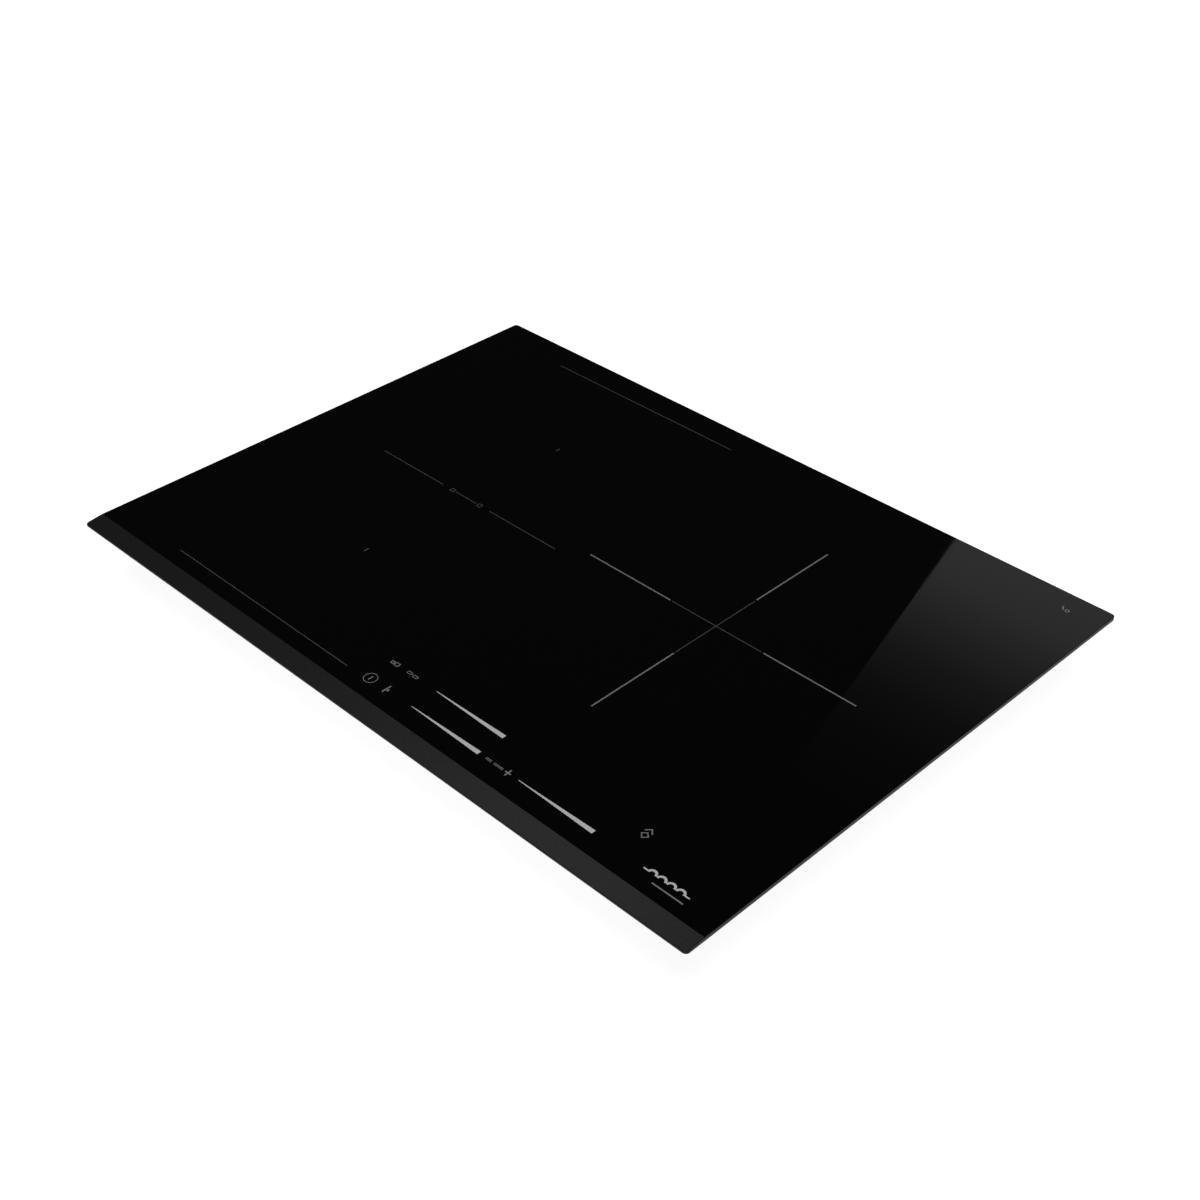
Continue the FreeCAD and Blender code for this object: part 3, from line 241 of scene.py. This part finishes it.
def foam():
    """Closed-cell foam tape."""
    look = Look("seal_foam", (0.028, 0.028, 0.03), 0.85)
    look.shades(look.noise(0.004, 4), 0.35)
    look.bump(look.cells(0.0007, output="Distance"), 0.0002, 0.6)
    look.bump(look.noise(0.01, 2), 0.0003, 0.3)
    return look.material


def silicone():
    """A tooled bead of black sealant."""
    look = Look("silicone", (0.03, 0.03, 0.032), 0.4, Coat_Weight=0.15)
    look.shades(look.noise(0.01, 3), 0.2)
    look.feed("Roughness", look.span(look.noise(0.008, 3), 0.32, 0.5))
    look.bump(look.noise(0.012, 2), 0.0004, 0.4)
    return look.material


def galvanised():
    """Hot-dip galvanised sheet: zinc crystals of differing brightness, stains and rolling marks."""
    look = Look("galvanised_steel", (0.56, 0.57, 0.58), 0.42, 1.0)
    crystal = look.parts(look.cells(0.0065, at=look.warped(0.005, 0.003)))
    feather = look.noise(0.0012, 3, 0.6, at=look.stretched(0.4, 1, 1))
    tone = look.maths("ADD", look.span(crystal[0], 0.1, 0.75), look.span(feather, -0.1, 0.25))
    zinc = look.blend(tone, (0.52, 0.53, 0.545), (0.74, 0.75, 0.76))
    stain = look.span(look.noise(0.07, 5, 0.6), 0.0, 0.3, start=0.5, end=0.8)
    look.feed("Base Color", look.blend(stain, zinc, (0.36, 0.36, 0.35)))
    dull = look.span(stain, 0.0, 0.12)
    look.feed("Roughness", look.maths("ADD", look.span(crystal[1], 0.30, 0.46), dull))
    look.bump(look.noise(0.0012, 2, at=look.stretched(0.15, 1, 1)), 0.00002, 0.5)
    look.bump(crystal[2], 0.00003, 0.3)
    return look.material


def rolled(name, colour, roughness, stretch):
    """Bright sheet or extrusion with fine lines along the way it was drawn."""
    look = Look(name, colour, roughness, 1.0)
    lines = look.noise(0.0006, 3, 0.6, at=look.stretched(*stretch))
    look.shades(look.maths("MULTIPLY", lines, look.noise(0.03, 3)), 0.25)
    look.feed("Roughness", look.span(lines, roughness - 0.08, roughness + 0.12))
    look.bump(lines, 0.00002, 0.6)
    return look.material


def plated(name, colour, roughness, tarnish):
    """Zinc plating with a faint passivated tint, and small tool marks."""
    look = Look(name, colour, roughness, 1.0)
    haze = look.span(look.noise(0.004, 4, 0.6), 0.0, 1.0, start=0.3, end=0.75)
    look.feed("Base Color", look.blend(haze, colour, tarnish))
    look.feed("Roughness", look.span(look.noise(0.0015, 3), roughness - 0.08, roughness + 0.12))
    look.bump(look.noise(0.0006, 3), 0.00002, 0.6)
    return look.material


def moulded(name, colour, roughness, spread=0.12, grain=0.0005, depth=0.00003, **sockets):
    """Injection-moulded plastic: a fine spark-eroded grain and slow flow shading."""
    look = Look(name, colour, roughness, **sockets)
    look.shades(look.noise(0.03, 4), spread)
    look.feed("Roughness", look.span(look.noise(0.012, 3), roughness - 0.07, roughness + 0.08))
    look.bump(look.noise(grain, 2), depth, 0.7)
    return look.material


def tracks(look, along, pitch):
    """Parallel lines across the way along, a pitch apart, each about 0.4 of the pitch wide."""
    phase = look.maths("FRACT", look.maths("MULTIPLY", along, 1 / pitch))
    off_centre = look.maths("ABSOLUTE", look.maths("SUBTRACT", phase, 0.5))
    return look.span(off_centre, 1.0, 0.0, start=0.16, end=0.22)


def circuit_board():
    """Green solder mask over copper: blocks of fine tracks, across or along, and plain areas."""
    look = Look("circuit_board", (0.02, 0.13, 0.05), 0.35, Coat_Weight=0.3)
    block = look.parts(look.cells(0.013, at=look.stretched(1, 0.6, 1)))
    x, y = look.parts(look.place)[0:2]
    is_across = look.maths("LESS_THAN", block[0], 0.35)
    is_lengthways = look.maths("GREATER_THAN", block[0], 0.6)
    across = look.maths("MULTIPLY", tracks(look, x, 0.0016), is_across)
    lengthways = look.maths("MULTIPLY", tracks(look, y, 0.0013), is_lengthways)
    trace = look.maths("MAXIMUM", across, lengthways)
    pour = look.maths("GREATER_THAN", block[1], 0.7)
    copper = look.maths("MAXIMUM", trace, look.maths("MULTIPLY", pour, 0.6))
    board = look.blend(look.noise(0.02, 3), (0.012, 0.085, 0.035), (0.018, 0.11, 0.045))
    look.feed("Base Color", look.blend(copper, board, (0.03, 0.19, 0.075)))
    look.feed("Roughness", look.span(look.noise(0.01, 3), 0.28, 0.42))
    look.bump(copper, 0.00004, 0.6)
    look.bump(look.noise(0.0006, 2), 0.00001, 0.4)
    return look.material


def litz():
    """Stranded enamelled copper, laid with a slant along the turn."""
    look = Look("copper_winding", (0.70, 0.33, 0.16), 0.32, 1.0)
    strands = look.noise(0.0007, 2, 0.6, at=look.stretched(1, 1, 2.5))
    look.shades(strands, 0.35)
    look.feed("Roughness", look.span(strands, 0.25, 0.42))
    look.bump(look.cells(0.0008, output="Distance"), 0.00025, 0.8)
    return look.material


def sleeve():
    """Braided silicone sleeve over a wire."""
    look = Look("wire_sleeve", (0.68, 0.66, 0.60), 0.7)
    braid = look.cells(0.0006, output="Distance", at=look.stretched(1, 1, 0.5))
    look.shades(braid, 0.25)
    look.bump(braid, 0.0002, 0.8)
    return look.material


def sintered(name, colour, roughness, spread, size):
    """Pressed and fired ceramic: fine speckle and open grain."""
    look = Look(name, colour, roughness)
    speckle = look.span(look.cells(size, output="Distance"), 0.0, 1.0, start=0.0, end=0.6)
    look.shades(speckle, spread)
    look.feed("Roughness", look.span(look.noise(size * 4, 3), roughness - 0.1, roughness + 0.1))
    look.bump(look.noise(size, 3), size * 0.06, 0.7)
    return look.material


def mica():
    """Pressed flakes, golden and slightly pearly."""
    look = Look("mica", (0.5, 0.43, 0.3), 0.45, Sheen_Weight=0.1)
    flake = look.parts(look.cells(0.0018, at=look.warped(0.003, 0.0015)))
    cloud = look.span(look.noise(0.03, 4), 0.0, 0.4, start=0.3, end=0.7)
    tone = look.maths("ADD", look.span(flake[0], 0.0, 0.6), cloud)
    look.feed("Base Color", look.blend(tone, (0.36, 0.30, 0.19), (0.55, 0.47, 0.33)))
    look.feed("Roughness", look.span(flake[1], 0.32, 0.6))
    look.bump(flake[2], 0.00003, 0.5)
    return look.material


# the finish of each material slot in the record
LOOKS = {
    "black_glass": ceramic_glass(),
    "seal_foam": foam(),
    "silicone": silicone(),
    "galvanised_steel": galvanised(),
    "aluminium_sheet": rolled("aluminium_sheet", (0.76, 0.77, 0.78), 0.36, (0.05, 1, 1)),
    "extruded_aluminium": rolled("extruded_aluminium", (0.68, 0.69, 0.70), 0.40, (1, 0.04, 1)),
    "zinc_screw": plated("zinc_screw", (0.66, 0.67, 0.69), 0.30, (0.58, 0.56, 0.46)),
    "clamp_steel": plated("clamp_steel", (0.60, 0.60, 0.59), 0.36, (0.56, 0.52, 0.40)),
    "spring_steel": plated("spring_steel", (0.52, 0.52, 0.51), 0.30, (0.40, 0.39, 0.36)),
    "circuit_board": circuit_board(),
    "nylon": moulded("nylon", (0.70, 0.68, 0.62), 0.45, 0.06, Subsurface_Weight=0.1),
    "black_epoxy": moulded("black_epoxy", (0.028, 0.028, 0.03), 0.55, 0.25, 0.0003),
    "capacitor_case": moulded("capacitor_case", (0.20, 0.25, 0.38), 0.32, 0.12, 0.0008),
    "copper_winding": litz(),
    "black_plastic": moulded("black_plastic", (0.028, 0.028, 0.03), 0.48, 0.2, 0.0006, 0.00005),
    "white_plastic": moulded("white_plastic", (0.76, 0.75, 0.70), 0.50, 0.08, 0.0006, 0.00004),
    "light_guide": moulded(
        "light_guide", (0.82, 0.83, 0.85), 0.20, 0.05, 0.002, Transmission_Weight=0.7
    ),
    "wire_sleeve": sleeve(),
    "ferrite": sintered("ferrite", (0.075, 0.075, 0.085), 0.55, 0.35, 0.0006),
    "mica": mica(),
    "sensor_ceramic": sintered("sensor_ceramic", (0.82, 0.80, 0.76), 0.45, 0.08, 0.0008),
}
# the printed marks, from the faint zone lines to the bright sliders
ZONE_INK = ink("zone_ink", (0.035, 0.035, 0.036))
CROSS_INK = ink("cross_ink", (0.08, 0.08, 0.082))
ICON_INK = ink("icon_ink", (0.09, 0.09, 0.092))
CONTROL_INK = ink("control_ink", (0.23, 0.23, 0.235))


def dress_cad_nodes():
    """Each carried-over CAD node gets the procedural material of its own slot."""
    for node in NODES.values():
        for slot in node.material_slots:
            slot.material = LOOKS[slot.material.name]


# ---------------------------------------------------------------- pieces
def new_piece(name, mesh, material):
    """A piece that rides on the fixed body, with the given material in its one slot."""
    piece = bpy.data.objects.new(name, mesh)
    bpy.context.scene.collection.objects.link(piece)
    mesh.materials.clear()
    mesh.materials.append(material)
    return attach(piece, "cooktop")


def finish_mesh(built, name):
    bmesh.ops.recalc_face_normals(built, faces=built.faces[:])
    mesh = bpy.data.meshes.new(name)
    built.to_mesh(mesh)
    built.free()
    return mesh


def skin(built, rows):
    """A smooth closed tube over the rows of points, each of which goes once round it."""
    for row, following in zip(rows, rows[1:] + rows[:1]):
        for i in range(len(row)):
            j = (i + 1) % len(row)
            built.faces.new((row[i], following[i], following[j], row[j])).smooth = True


def flattened(value, power):
    """A sine or cosine whose power below 1 turns a round section into one with flat sides."""
    return math.copysign(abs(value) ** power, value)


class Print:
    """Printed marks as thin closed slabs on the glass, in millimetres from the glass's middle."""

    SINK, PROUD = 0.01, 0.02
    SHARPEST = 0.4  # a mitre is no longer than at this cosine

    def __init__(self):
        self.mesh = bmesh.new()

    def vertex(self, x, y, height):
        return self.mesh.verts.new((x * MM, y * MM, TOP + height * MM))

    def quad(self, *corners):
        self.mesh.faces.new(corners)

    def ribbon(self, left, right, closed=False):
        """A slab between two rows of points, as many on the left as on the right."""
        rows = []
        for height in (-self.SINK, self.PROUD):
            for side in (left, right):
                rows.append([self.vertex(x, y, height) for x, y in side])
        low_left, low_right, high_left, high_right = rows
        count = len(left)
        for i in range(count if closed else count - 1):
            j = (i + 1) % count
            self.quad(high_left[i], high_right[i], high_right[j], high_left[j])
            self.quad(low_left[j], low_right[j], low_right[i], low_left[i])
            self.quad(low_left[i], high_left[i], high_left[j], low_left[j])
            self.quad(low_right[j], high_right[j], high_right[i], low_right[i])
        if not closed:
            self.quad(low_right[0], high_right[0], high_left[0], low_left[0])
            self.quad(low_left[-1], high_left[-1], high_right[-1], low_right[-1])

    def stroke(self, points, width, closed=False):
        """A line of even width through the points, with mitred corners."""
        points = [Vector(p) for p in points]
        last = len(points) - 1
        left, right = [], []
        for i, point in enumerate(points):
            before = points[i - 1] if i > 0 or closed else point
            after = points[(i + 1) % len(points)] if i < last or closed else point
            into = ((point if before != point else after) - before).normalized()
            out = (after - point).normalized() if after != point else into
            along = (into + out).normalized()
            across = Vector((-along.y, along.x))
            reach = width / 2 / max(along.dot(into), self.SHARPEST)
            left.append(point + across * reach)
            right.append(point - across * reach)
        self.ribbon(left, right, closed)

    def bar(self, x, y, width, height):
        self.stroke([(x - width / 2, y), (x + width / 2, y)], height)

    def outline(self, x, y, width, height, line):
        """An open rectangle about x, y."""
        dx, dy = width / 2, height / 2
        corners = [(x - dx, y - dy), (x + dx, y - dy), (x + dx, y + dy), (x - dx, y + dy)]
        self.stroke(corners, line, closed=True)

    def arc(self, x, y, radius, width, start=0, end=360, steps=48):
        full = end - start >= 360
        count = steps if full else steps + 1
        turns = [math.radians(start + (end - start) * i / steps) for i in range(count)]
        points = [(x + radius * math.cos(t), y + radius * math.sin(t)) for t in turns]
        self.stroke(points, width, full)

    def wedge(self, start, end, y, low, high):
        """A bar from start to end that widens from low to high."""
        upper = [(start, y + low / 2), (end, y + high / 2)]
        lower = [(start, y - low / 2), (end, y - high / 2)]
        self.ribbon(upper, lower)

    def finish(self, name, material):
        new_piece(name, finish_mesh(self.mesh, name), material)


def zone_marks():
    """The left flexible zone's three lines and two ticks."""
    line, middle_y = 0.6, 2.2
    marks = Print()
    for y in (226.4, -221.7):
        marks.bar(-145.5, y, 221.6, line)
    for x, width in ((-216.5, 80.0), (-75.4, 81.0)):
        marks.bar(x, middle_y, width, line)
    # two squares joined by a line stand for the zones that work as one
    for x in (-163.5, -128.5):
        marks.outline(x, middle_y, 4, 4, line)
    marks.bar(-146, middle_y, 27.0, line)
    for y in (114.5, -110.5):
        marks.bar(-145.9, y, 1.0, 5.0)
    marks.finish("zone_marks", ZONE_INK)


def cross_marks():
    """The right zone's cross: four bold arms, and a thin cross in the gap between them."""
    x, y, tip = 132.9, 17.7, 140.6
    hub_reach, arm_start = 47.5, 49.3
    bold, thin = 1.25, 0.6
    arms = Print()
    for along, across in ((1, 0), (0, 1)):
        for way in (-1, 1):
            ends = [(x + along * way * d, y + across * way * d) for d in (arm_start, tip)]
            arms.stroke(ends, bold)
    arms.finish("cross_arms", CROSS_INK)

    hub = Print()
    hub.bar(x, y, 2 * hub_reach, thin)
    for way in (-1, 1):
        hub.stroke([(x, y + way * thin / 2), (x, y + way * hub_reach)], thin)
    hub.finish("cross_hub", ZONE_INK)


def slider_marks():
    """Three power sliders: wedges that widen to the right."""
    narrow, wide = 0.5, 4.1
    marks = Print()
    for start, end, y in ((37.5, 112.8, -193.5), (37.5, 112.8, -218.5), (154.5, 230.0, -218.45)):
        marks.wedge(start, end, y, narrow, wide)
    marks.finish("slider_marks", CONTROL_INK)


def control_icons():
    """Small generic signs beside the sliders."""
    marks = Print()
    row = -218.5
    # on and off
    marks.arc(-10.3, row, 5.6, 0.55)
    marks.bar(-10.3, row, 0.9, 5.4)
    # key lock: a bar with a small tab
    marks.bar(8.5, row, 1.2, 9.0)
    marks.bar(10.6, row - 0.5, 1.6, 2.4)
    # pans, small and large, each with a handle
    handle = 1.3
    for x, y, width, height, line in (
        (-13.2, -193.8, 3.0, 2.6, 0.7),
        (-8.6, -193.5, 3.6, 3.6, 0.7),
        (6.2, -193.2, 4.2, 2.4, 0.5),
        (13.0, -193.5, 4.2, 2.4, 0.5),
    ):
        side = x + width / 2
        marks.outline(x, y, width, height, line)
        marks.stroke([(side + line / 2, y), (side + handle, y)], line)
    # a minus sign in two steps, and a plus
    for x, width in ((123.2, 6.0), (133.6, 9.6)):
        for y in (-217.9, -219.2):
            marks.bar(x, y, width, 0.5)
    plus_x, plus_line, plus_reach = 143.5, 1.2, 2.9
    marks.stroke([(plus_x, -222.2), (plus_x, -214.8)], plus_line)
    for way in (-1, 1):
        ends = [(plus_x + way * d, row) for d in (plus_line / 2, plus_reach)]
        marks.stroke(ends, plus_line)
    # boost: a chevron over a small diamond
    marks.stroke([(253.4, -191.8), (257.0, -188.0), (260.6, -191.8)], 0.9)
    diamond = [(257.0, -192.6), (260.2, -195.4), (257.0, -198.8), (253.8, -195.4)]
    marks.stroke(diamond, 0.8, closed=True)
    marks.finish("control_icons", ICON_INK)


def corner_marks():
    """A generic induction sign, four bumps of a coil over a plain bar, and two small marks."""
    middle, y, radius, gap, line = 299.0, -219.5, 3.4, 1.8, 1.9
    step = 2 * radius + gap
    first, last = middle - 1.5 * step, middle + 1.5 * step
    marks = Print()
    for i in range(4):
        marks.arc(first + i * step, y, radius, line, 0, 180, 20)
    for end, way in ((first - radius, -1), (last + radius, 1)):
        marks.bar(end + way * 2.8, y + 0.6, 3.8, 1.2)
    marks.finish("induction_sign", CONTROL_INK)

    # the bar, and at the back right a plain stroke and a small ring
    small = Print()
    small.bar(306.0, -225.6, 28.0, 1.1)
    small.stroke([(313.0, 236.0), (315.4, 231.6)], 1.3)
    small.arc(318.8, 232.6, 1.6, 0.9, steps=24)
    small.finish("small_marks", ICON_INK)


def seal_strip():
    """The foam seal as a soft strip, whose flat section bulges a little at its sides."""
    low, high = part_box("worktop_seal")
    width, corner = 7.0 * MM, 3.5 * MM
    height, middle = high.z - low.z, (low.z + high.z) / 2
    around, corner_steps = 16, 6
    section = []
    for i in range(around):
        turn = 2 * math.pi * i / around
        out, up = flattened(math.cos(turn), 0.35), flattened(math.sin(turn), 0.45)
        section.append((out * width / 2, up * height / 2))
    reach_x = high.x - width / 2 - corner
    reach_y = high.y - width / 2 - corner
    built = bmesh.new()
    rows = []
    for side_x, side_y, start in ((1, 1, 0), (-1, 1, 90), (-1, -1, 180), (1, -1, 270)):
        centre = Vector((side_x * reach_x, side_y * reach_y, middle))
        for i in range(corner_steps + 1):
            turn = math.radians(start + 90 * i / corner_steps)
            across = Vector((math.cos(turn), math.sin(turn), 0))
            spots = [centre + across * (corner + out) + Vector((0, 0, up)) for out, up in section]
            rows.append([built.verts.new(spot) for spot in spots])
    skin(built, rows)
    strip = new_piece(
        "seal_strip", finish_mesh(built, "seal_strip"), LOOKS["seal_foam"]
    )
    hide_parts("worktop_seal")


def flexible_pieces():
    """Each coil's springs and leads, as copies of their own that stay on the tray."""
    for coil in ("left_front", "left_rear", "right"):
        for kind, slot in (("carrier_springs", "spring_steel"), ("coil_leads", "wire_sleeve")):
            node = f"{kind}_{coil}"
            piece = new_piece(f"{node}_soft", NODES[node].data.copy(), LOOKS[slot])
            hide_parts(node)
            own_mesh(piece)


def solids(node):
    """The lowest and highest corners of each separate solid of a CAD node."""
    mesh = NODES[node].data
    spots = [tuple(round(c, 6) for c in v.co) for v in mesh.vertices]
    leader = {spot: spot for spot in spots}

    def head(spot):
        while leader[spot] != spot:
            leader[spot] = leader[leader[spot]]
            spot = leader[spot]
        return spot

    for edge in mesh.edges:
        leader[head(spots[edge.vertices[0]])] = head(spots[edge.vertices[1]])
    groups = {}
    for spot in leader:
        groups.setdefault(head(spot), []).append(spot)
    boxes = []
    for points in groups.values():
        axes = list(zip(*points))
        boxes.append((Vector([min(axis) for axis in axes]), Vector([max(axis) for axis in axes])))
    return sorted(boxes, key=lambda box: (round(box[0].x, 4), round(box[0].y, 4)))


def ring(built, centre, axis, radius, thickness, around, through, power=1.0):
    """A closed ring about the axis; a power below 1 makes its section boxier."""
    turn_to = Vector(axis).to_track_quat("Z", "Y")
    rows = []
    for i in range(around):
        a = 2 * math.pi * i / around
        row = []
        for k in range(through):
            b = 2 * math.pi * k / through
            out = radius + flattened(math.cos(b), power) * thickness
            up = flattened(math.sin(b), power) * thickness
            spot = Vector((out * math.cos(a), out * math.sin(a), up))
            row.append(built.verts.new(centre + turn_to @ spot))
        rows.append(row)
    skin(built, rows)


def wound_chokes():
    """Ferrite ring cores, each with two windings of enamelled wire and a gap between them."""
    wire = 0.45 * MM
    count, gap = 14, 0.09  # turns in a winding, and the bare share of a half ring at each end
    up = Vector((0, 0, 1))
    cores, turns = bmesh.new(), bmesh.new()
    for low, high in solids("chokes"):
        centre = (low + high) / 2
        section = (high.z - low.z) / 2
        radius = (high.x - low.x) / 2 - section
        core = section - 2.3 * wire
        ring(cores, centre, up, radius, core, 48, 16, 0.75)
        for half in (0, 1):
            for i in range(count):
                a = math.pi * (half + gap + (1 - 2 * gap) * i / (count - 1))
                out = Vector((math.cos(a), math.sin(a), 0))
                middle = centre + out * radius
                ring(turns, middle, out.cross(up), core + 1.2 * wire, wire, 20, 8)
    wound = new_piece(
        "choke_turns", finish_mesh(turns, "choke_turns"), LOOKS["copper_winding"]
    )
    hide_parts("chokes")
    new_piece("choke_cores", finish_mesh(cores, "choke_cores"), LOOKS["ferrite"])


def soften(node, width):
    """Moulded parts have rounded edges: a small bevel on the node's own mesh."""
    thing = NODES[node]
    weld = thing.modifiers.new("weld", "WELD")
    weld.merge_threshold = 0.01 * MM
    bevel = thing.modifiers.new("edges", "BEVEL")
    bevel.width, bevel.segments = width, 2
    bevel.limit_method, bevel.angle_limit = "ANGLE", math.radians(50)


# ---------------------------------------------------------------- studio
def stage_sheet(name, corners, material):
    """A flat surface that belongs to the studio, not to the object."""
    mesh = bpy.data.meshes.new(name)
    mesh.from_pydata(corners, [], [(0, 1, 2, 3)])
    mesh.materials.append(material)
    thing = bpy.data.objects.new(name, mesh)
    bpy.context.scene.collection.objects.link(thing)
    return thing


def make_floor():
    """A pale table that glows, so that its shadows stay faint, and that is clear from below."""
    half, gap = 8.0, 0.2 * MM
    look = Look("pale_floor", grey(0.12), 0.9)
    look.shades(look.noise(0.4, 3), 0.05)

    def distance(place):
        node = look.add("ShaderNodeVectorMath", operation="LENGTH")
        look.link(place, node.inputs[0])
        return node.outputs["Value"]

    # the glow the camera sees is dimmer near the middle: painted shade around the object
    backdrop = look.span(distance(look.place), 0.95, 1.0, start=0.5, end=3.0)
    # what the object itself gets: more under the body, less beside the glass
    reach = CAD_BOX[1]
    from_middle = distance(look.stretched(1 / reach.x, 1 / reach.y, 0))
    bounce = look.span(from_middle, 0.85, 0.32, start=0.9, end=1.1)
    seen = look.add("ShaderNodeLightPath").outputs["Is Camera Ray"]
    glow = look.add("ShaderNodeEmission")
    look.link(look.between(seen, bounce, backdrop), glow.inputs["Strength"])
    both = look.add("ShaderNodeAddShader")
    look.link(look.shader.outputs[0], both.inputs[0])
    look.link(glow.outputs[0], both.inputs[1])
    one_sided = look.add("ShaderNodeMixShader")
    look.link(look.add("ShaderNodeNewGeometry").outputs["Backfacing"], one_sided.inputs[0])
    look.link(both.outputs[0], one_sided.inputs[1])
    look.link(look.add("ShaderNodeBsdfTransparent").outputs[0], one_sided.inputs[2])
    look.show(one_sided.outputs[0])
    corners = [(-half, -half, 0), (half, -half, 0), (half, half, 0), (-half, half, 0)]
    stage_sheet("floor", corners, look.material).location.z = CAD_BOX[0].z - gap


def make_world():
    """White behind everything, and nearly dark for what the polished glass mirrors."""
    horizon, sky, sky_height = 0.5, 0.012, 0.22
    world = bpy.data.worlds.new("studio")
    bpy.context.scene.world = world
    world.use_nodes = True
    tree = world.node_tree
    mirrored, backdrop = tree.nodes["Background"], tree.nodes.new("ShaderNodeBackground")
    place = tree.nodes.new("ShaderNodeTexCoord")
    split = tree.nodes.new("ShaderNodeSeparateXYZ")
    tree.links.new(place.outputs["Generated"], split.inputs[0])
    fall = tree.nodes.new("ShaderNodeValToRGB")
    tree.links.new(split.outputs[2], fall.inputs[0])
    for stop, height, level in zip(fall.color_ramp.elements, (0.0, sky_height), (horizon, sky)):
        stop.position, stop.color = height, (*grey(level), 1)
    tree.links.new(fall.outputs[0], mirrored.inputs["Color"])
    backdrop.inputs["Color"].default_value = (*grey(1.0), 1)
    seen = tree.nodes.new("ShaderNodeLightPath").outputs["Is Camera Ray"]
    choose = tree.nodes.new("ShaderNodeMixShader")
    tree.links.new(seen, choose.inputs[0])
    tree.links.new(mirrored.outputs[0], choose.inputs[1])
    tree.links.new(backdrop.outputs[0], choose.inputs[2])
    tree.links.new(choose.outputs[0], tree.nodes["World Output"].inputs["Surface"])


def direction(azimuth, elevation):
    """Azimuth 0 is in front of the cooktop and 90 at its right, as for the camera."""
    a, e = math.radians(azimuth), math.radians(elevation)
    return Vector((math.sin(a) * math.cos(e), -math.cos(a) * math.cos(e), math.sin(e)))


def aim(thing, azimuth, elevation, distance):
    """Puts the light or camera that far from the glass's middle, looking at it."""
    bpy.context.scene.collection.objects.link(thing)
    away = direction(azimuth, elevation)
    thing.location = GLASS_MIDDLE + away * distance
    thing.rotation_mode = "QUATERNION"
    thing.rotation_quaternion = away.to_track_quat("Z", "Y")


def softbox(name, azimuth, elevation, size, power, mirrored):
    light = bpy.data.lights.new(name, "AREA")
    light.shape, light.energy = "RECTANGLE", power
    light.size, light.size_y = size
    lamp = bpy.data.objects.new(name, light)
    aim(lamp, azimuth, elevation, distance=2.4)
    lamp.visible_camera, lamp.visible_glossy = False, mirrored


def make_lights():
    """Softboxes high up all round light the object, but the polished glass doesn't mirror them."""
    for name, azimuth in (("front", 20), ("right", 100), ("back", 155), ("left", 300)):
        softbox(f"{name}_softbox", azimuth, 64, (1.1, 0.7), 26, mirrored=False)
    # a wide dim panel behind on the left, which the front bevel mirrors more and more to its right
    softbox("bevel_panel", 252, 60, (1.2, 0.6), 1.35, mirrored=True)


def make_card():
    """A dim card behind the cooktop, which the back right corner of the glass mirrors."""
    eye = bpy.context.scene.camera.location
    height = 1.33

    def seen_at(x, y):
        """The point of the card that the camera sees mirrored at x, y on the glass, in mm."""
        spot = Vector((x * MM, y * MM, TOP))
        onward = (spot - eye) * (height / (eye.z - TOP))
        return spot + Vector((onward.x, onward.y, height))

    look = Look("card", grey(0), 1.0)
    near, far = seen_at(0, -60).y, seen_at(0, 240).y
    ramp = look.add("ShaderNodeValToRGB")
    look.link(look.span(look.parts(look.place)[1], 0.0, 1.0, near, far), ramp.inputs[0])
    stops = ramp.color_ramp.elements
    for stop, place, level in zip(stops, (0.0, 1.0), (0.015, 0.37)):
        stop.position, stop.color = place, (*grey(level), 1)
    for place, level in ((0.2, 0.028), (0.367, 0.055), (0.533, 0.115), (0.7, 0.215), (0.87, 0.335)):
        stops.new(place).color = (*grey(level), 1)
    glow = look.add("ShaderNodeEmission")
    look.link(ramp.outputs[0], glow.inputs["Color"])
    look.show(glow.outputs[0])
    corners = [seen_at(x, y) for x, y in ((284, -70), (370, -70), (370, 275), (189, 275))]
    card = stage_sheet("card", corners, look.material)
    card.visible_camera = card.visible_shadow = card.visible_diffuse = False


def make_camera():
    """The photograph's own camera, solved from the perspective of the glass and its lines."""
    data = bpy.data.cameras.new("camera")
    data.sensor_width, data.lens = 36.0, 55.57
    data.shift_x, data.shift_y = 0.01494, -0.0260
    camera = bpy.data.objects.new("camera", data)
    aim(camera, 45.03, 35.37, distance=1.5397)
    bpy.context.scene.camera = camera


make_camera()
make_world()
make_floor()
make_lights()
make_card()
bpy.context.scene.view_settings.view_transform = "Standard"

dress_cad_nodes()
zone_marks()
cross_marks()
slider_marks()
control_icons()
corner_marks()
seal_strip()
flexible_pieces()
wound_chokes()
soften("film_capacitors", 1.0 * MM)
soften("power_transistors", 0.5 * MM)
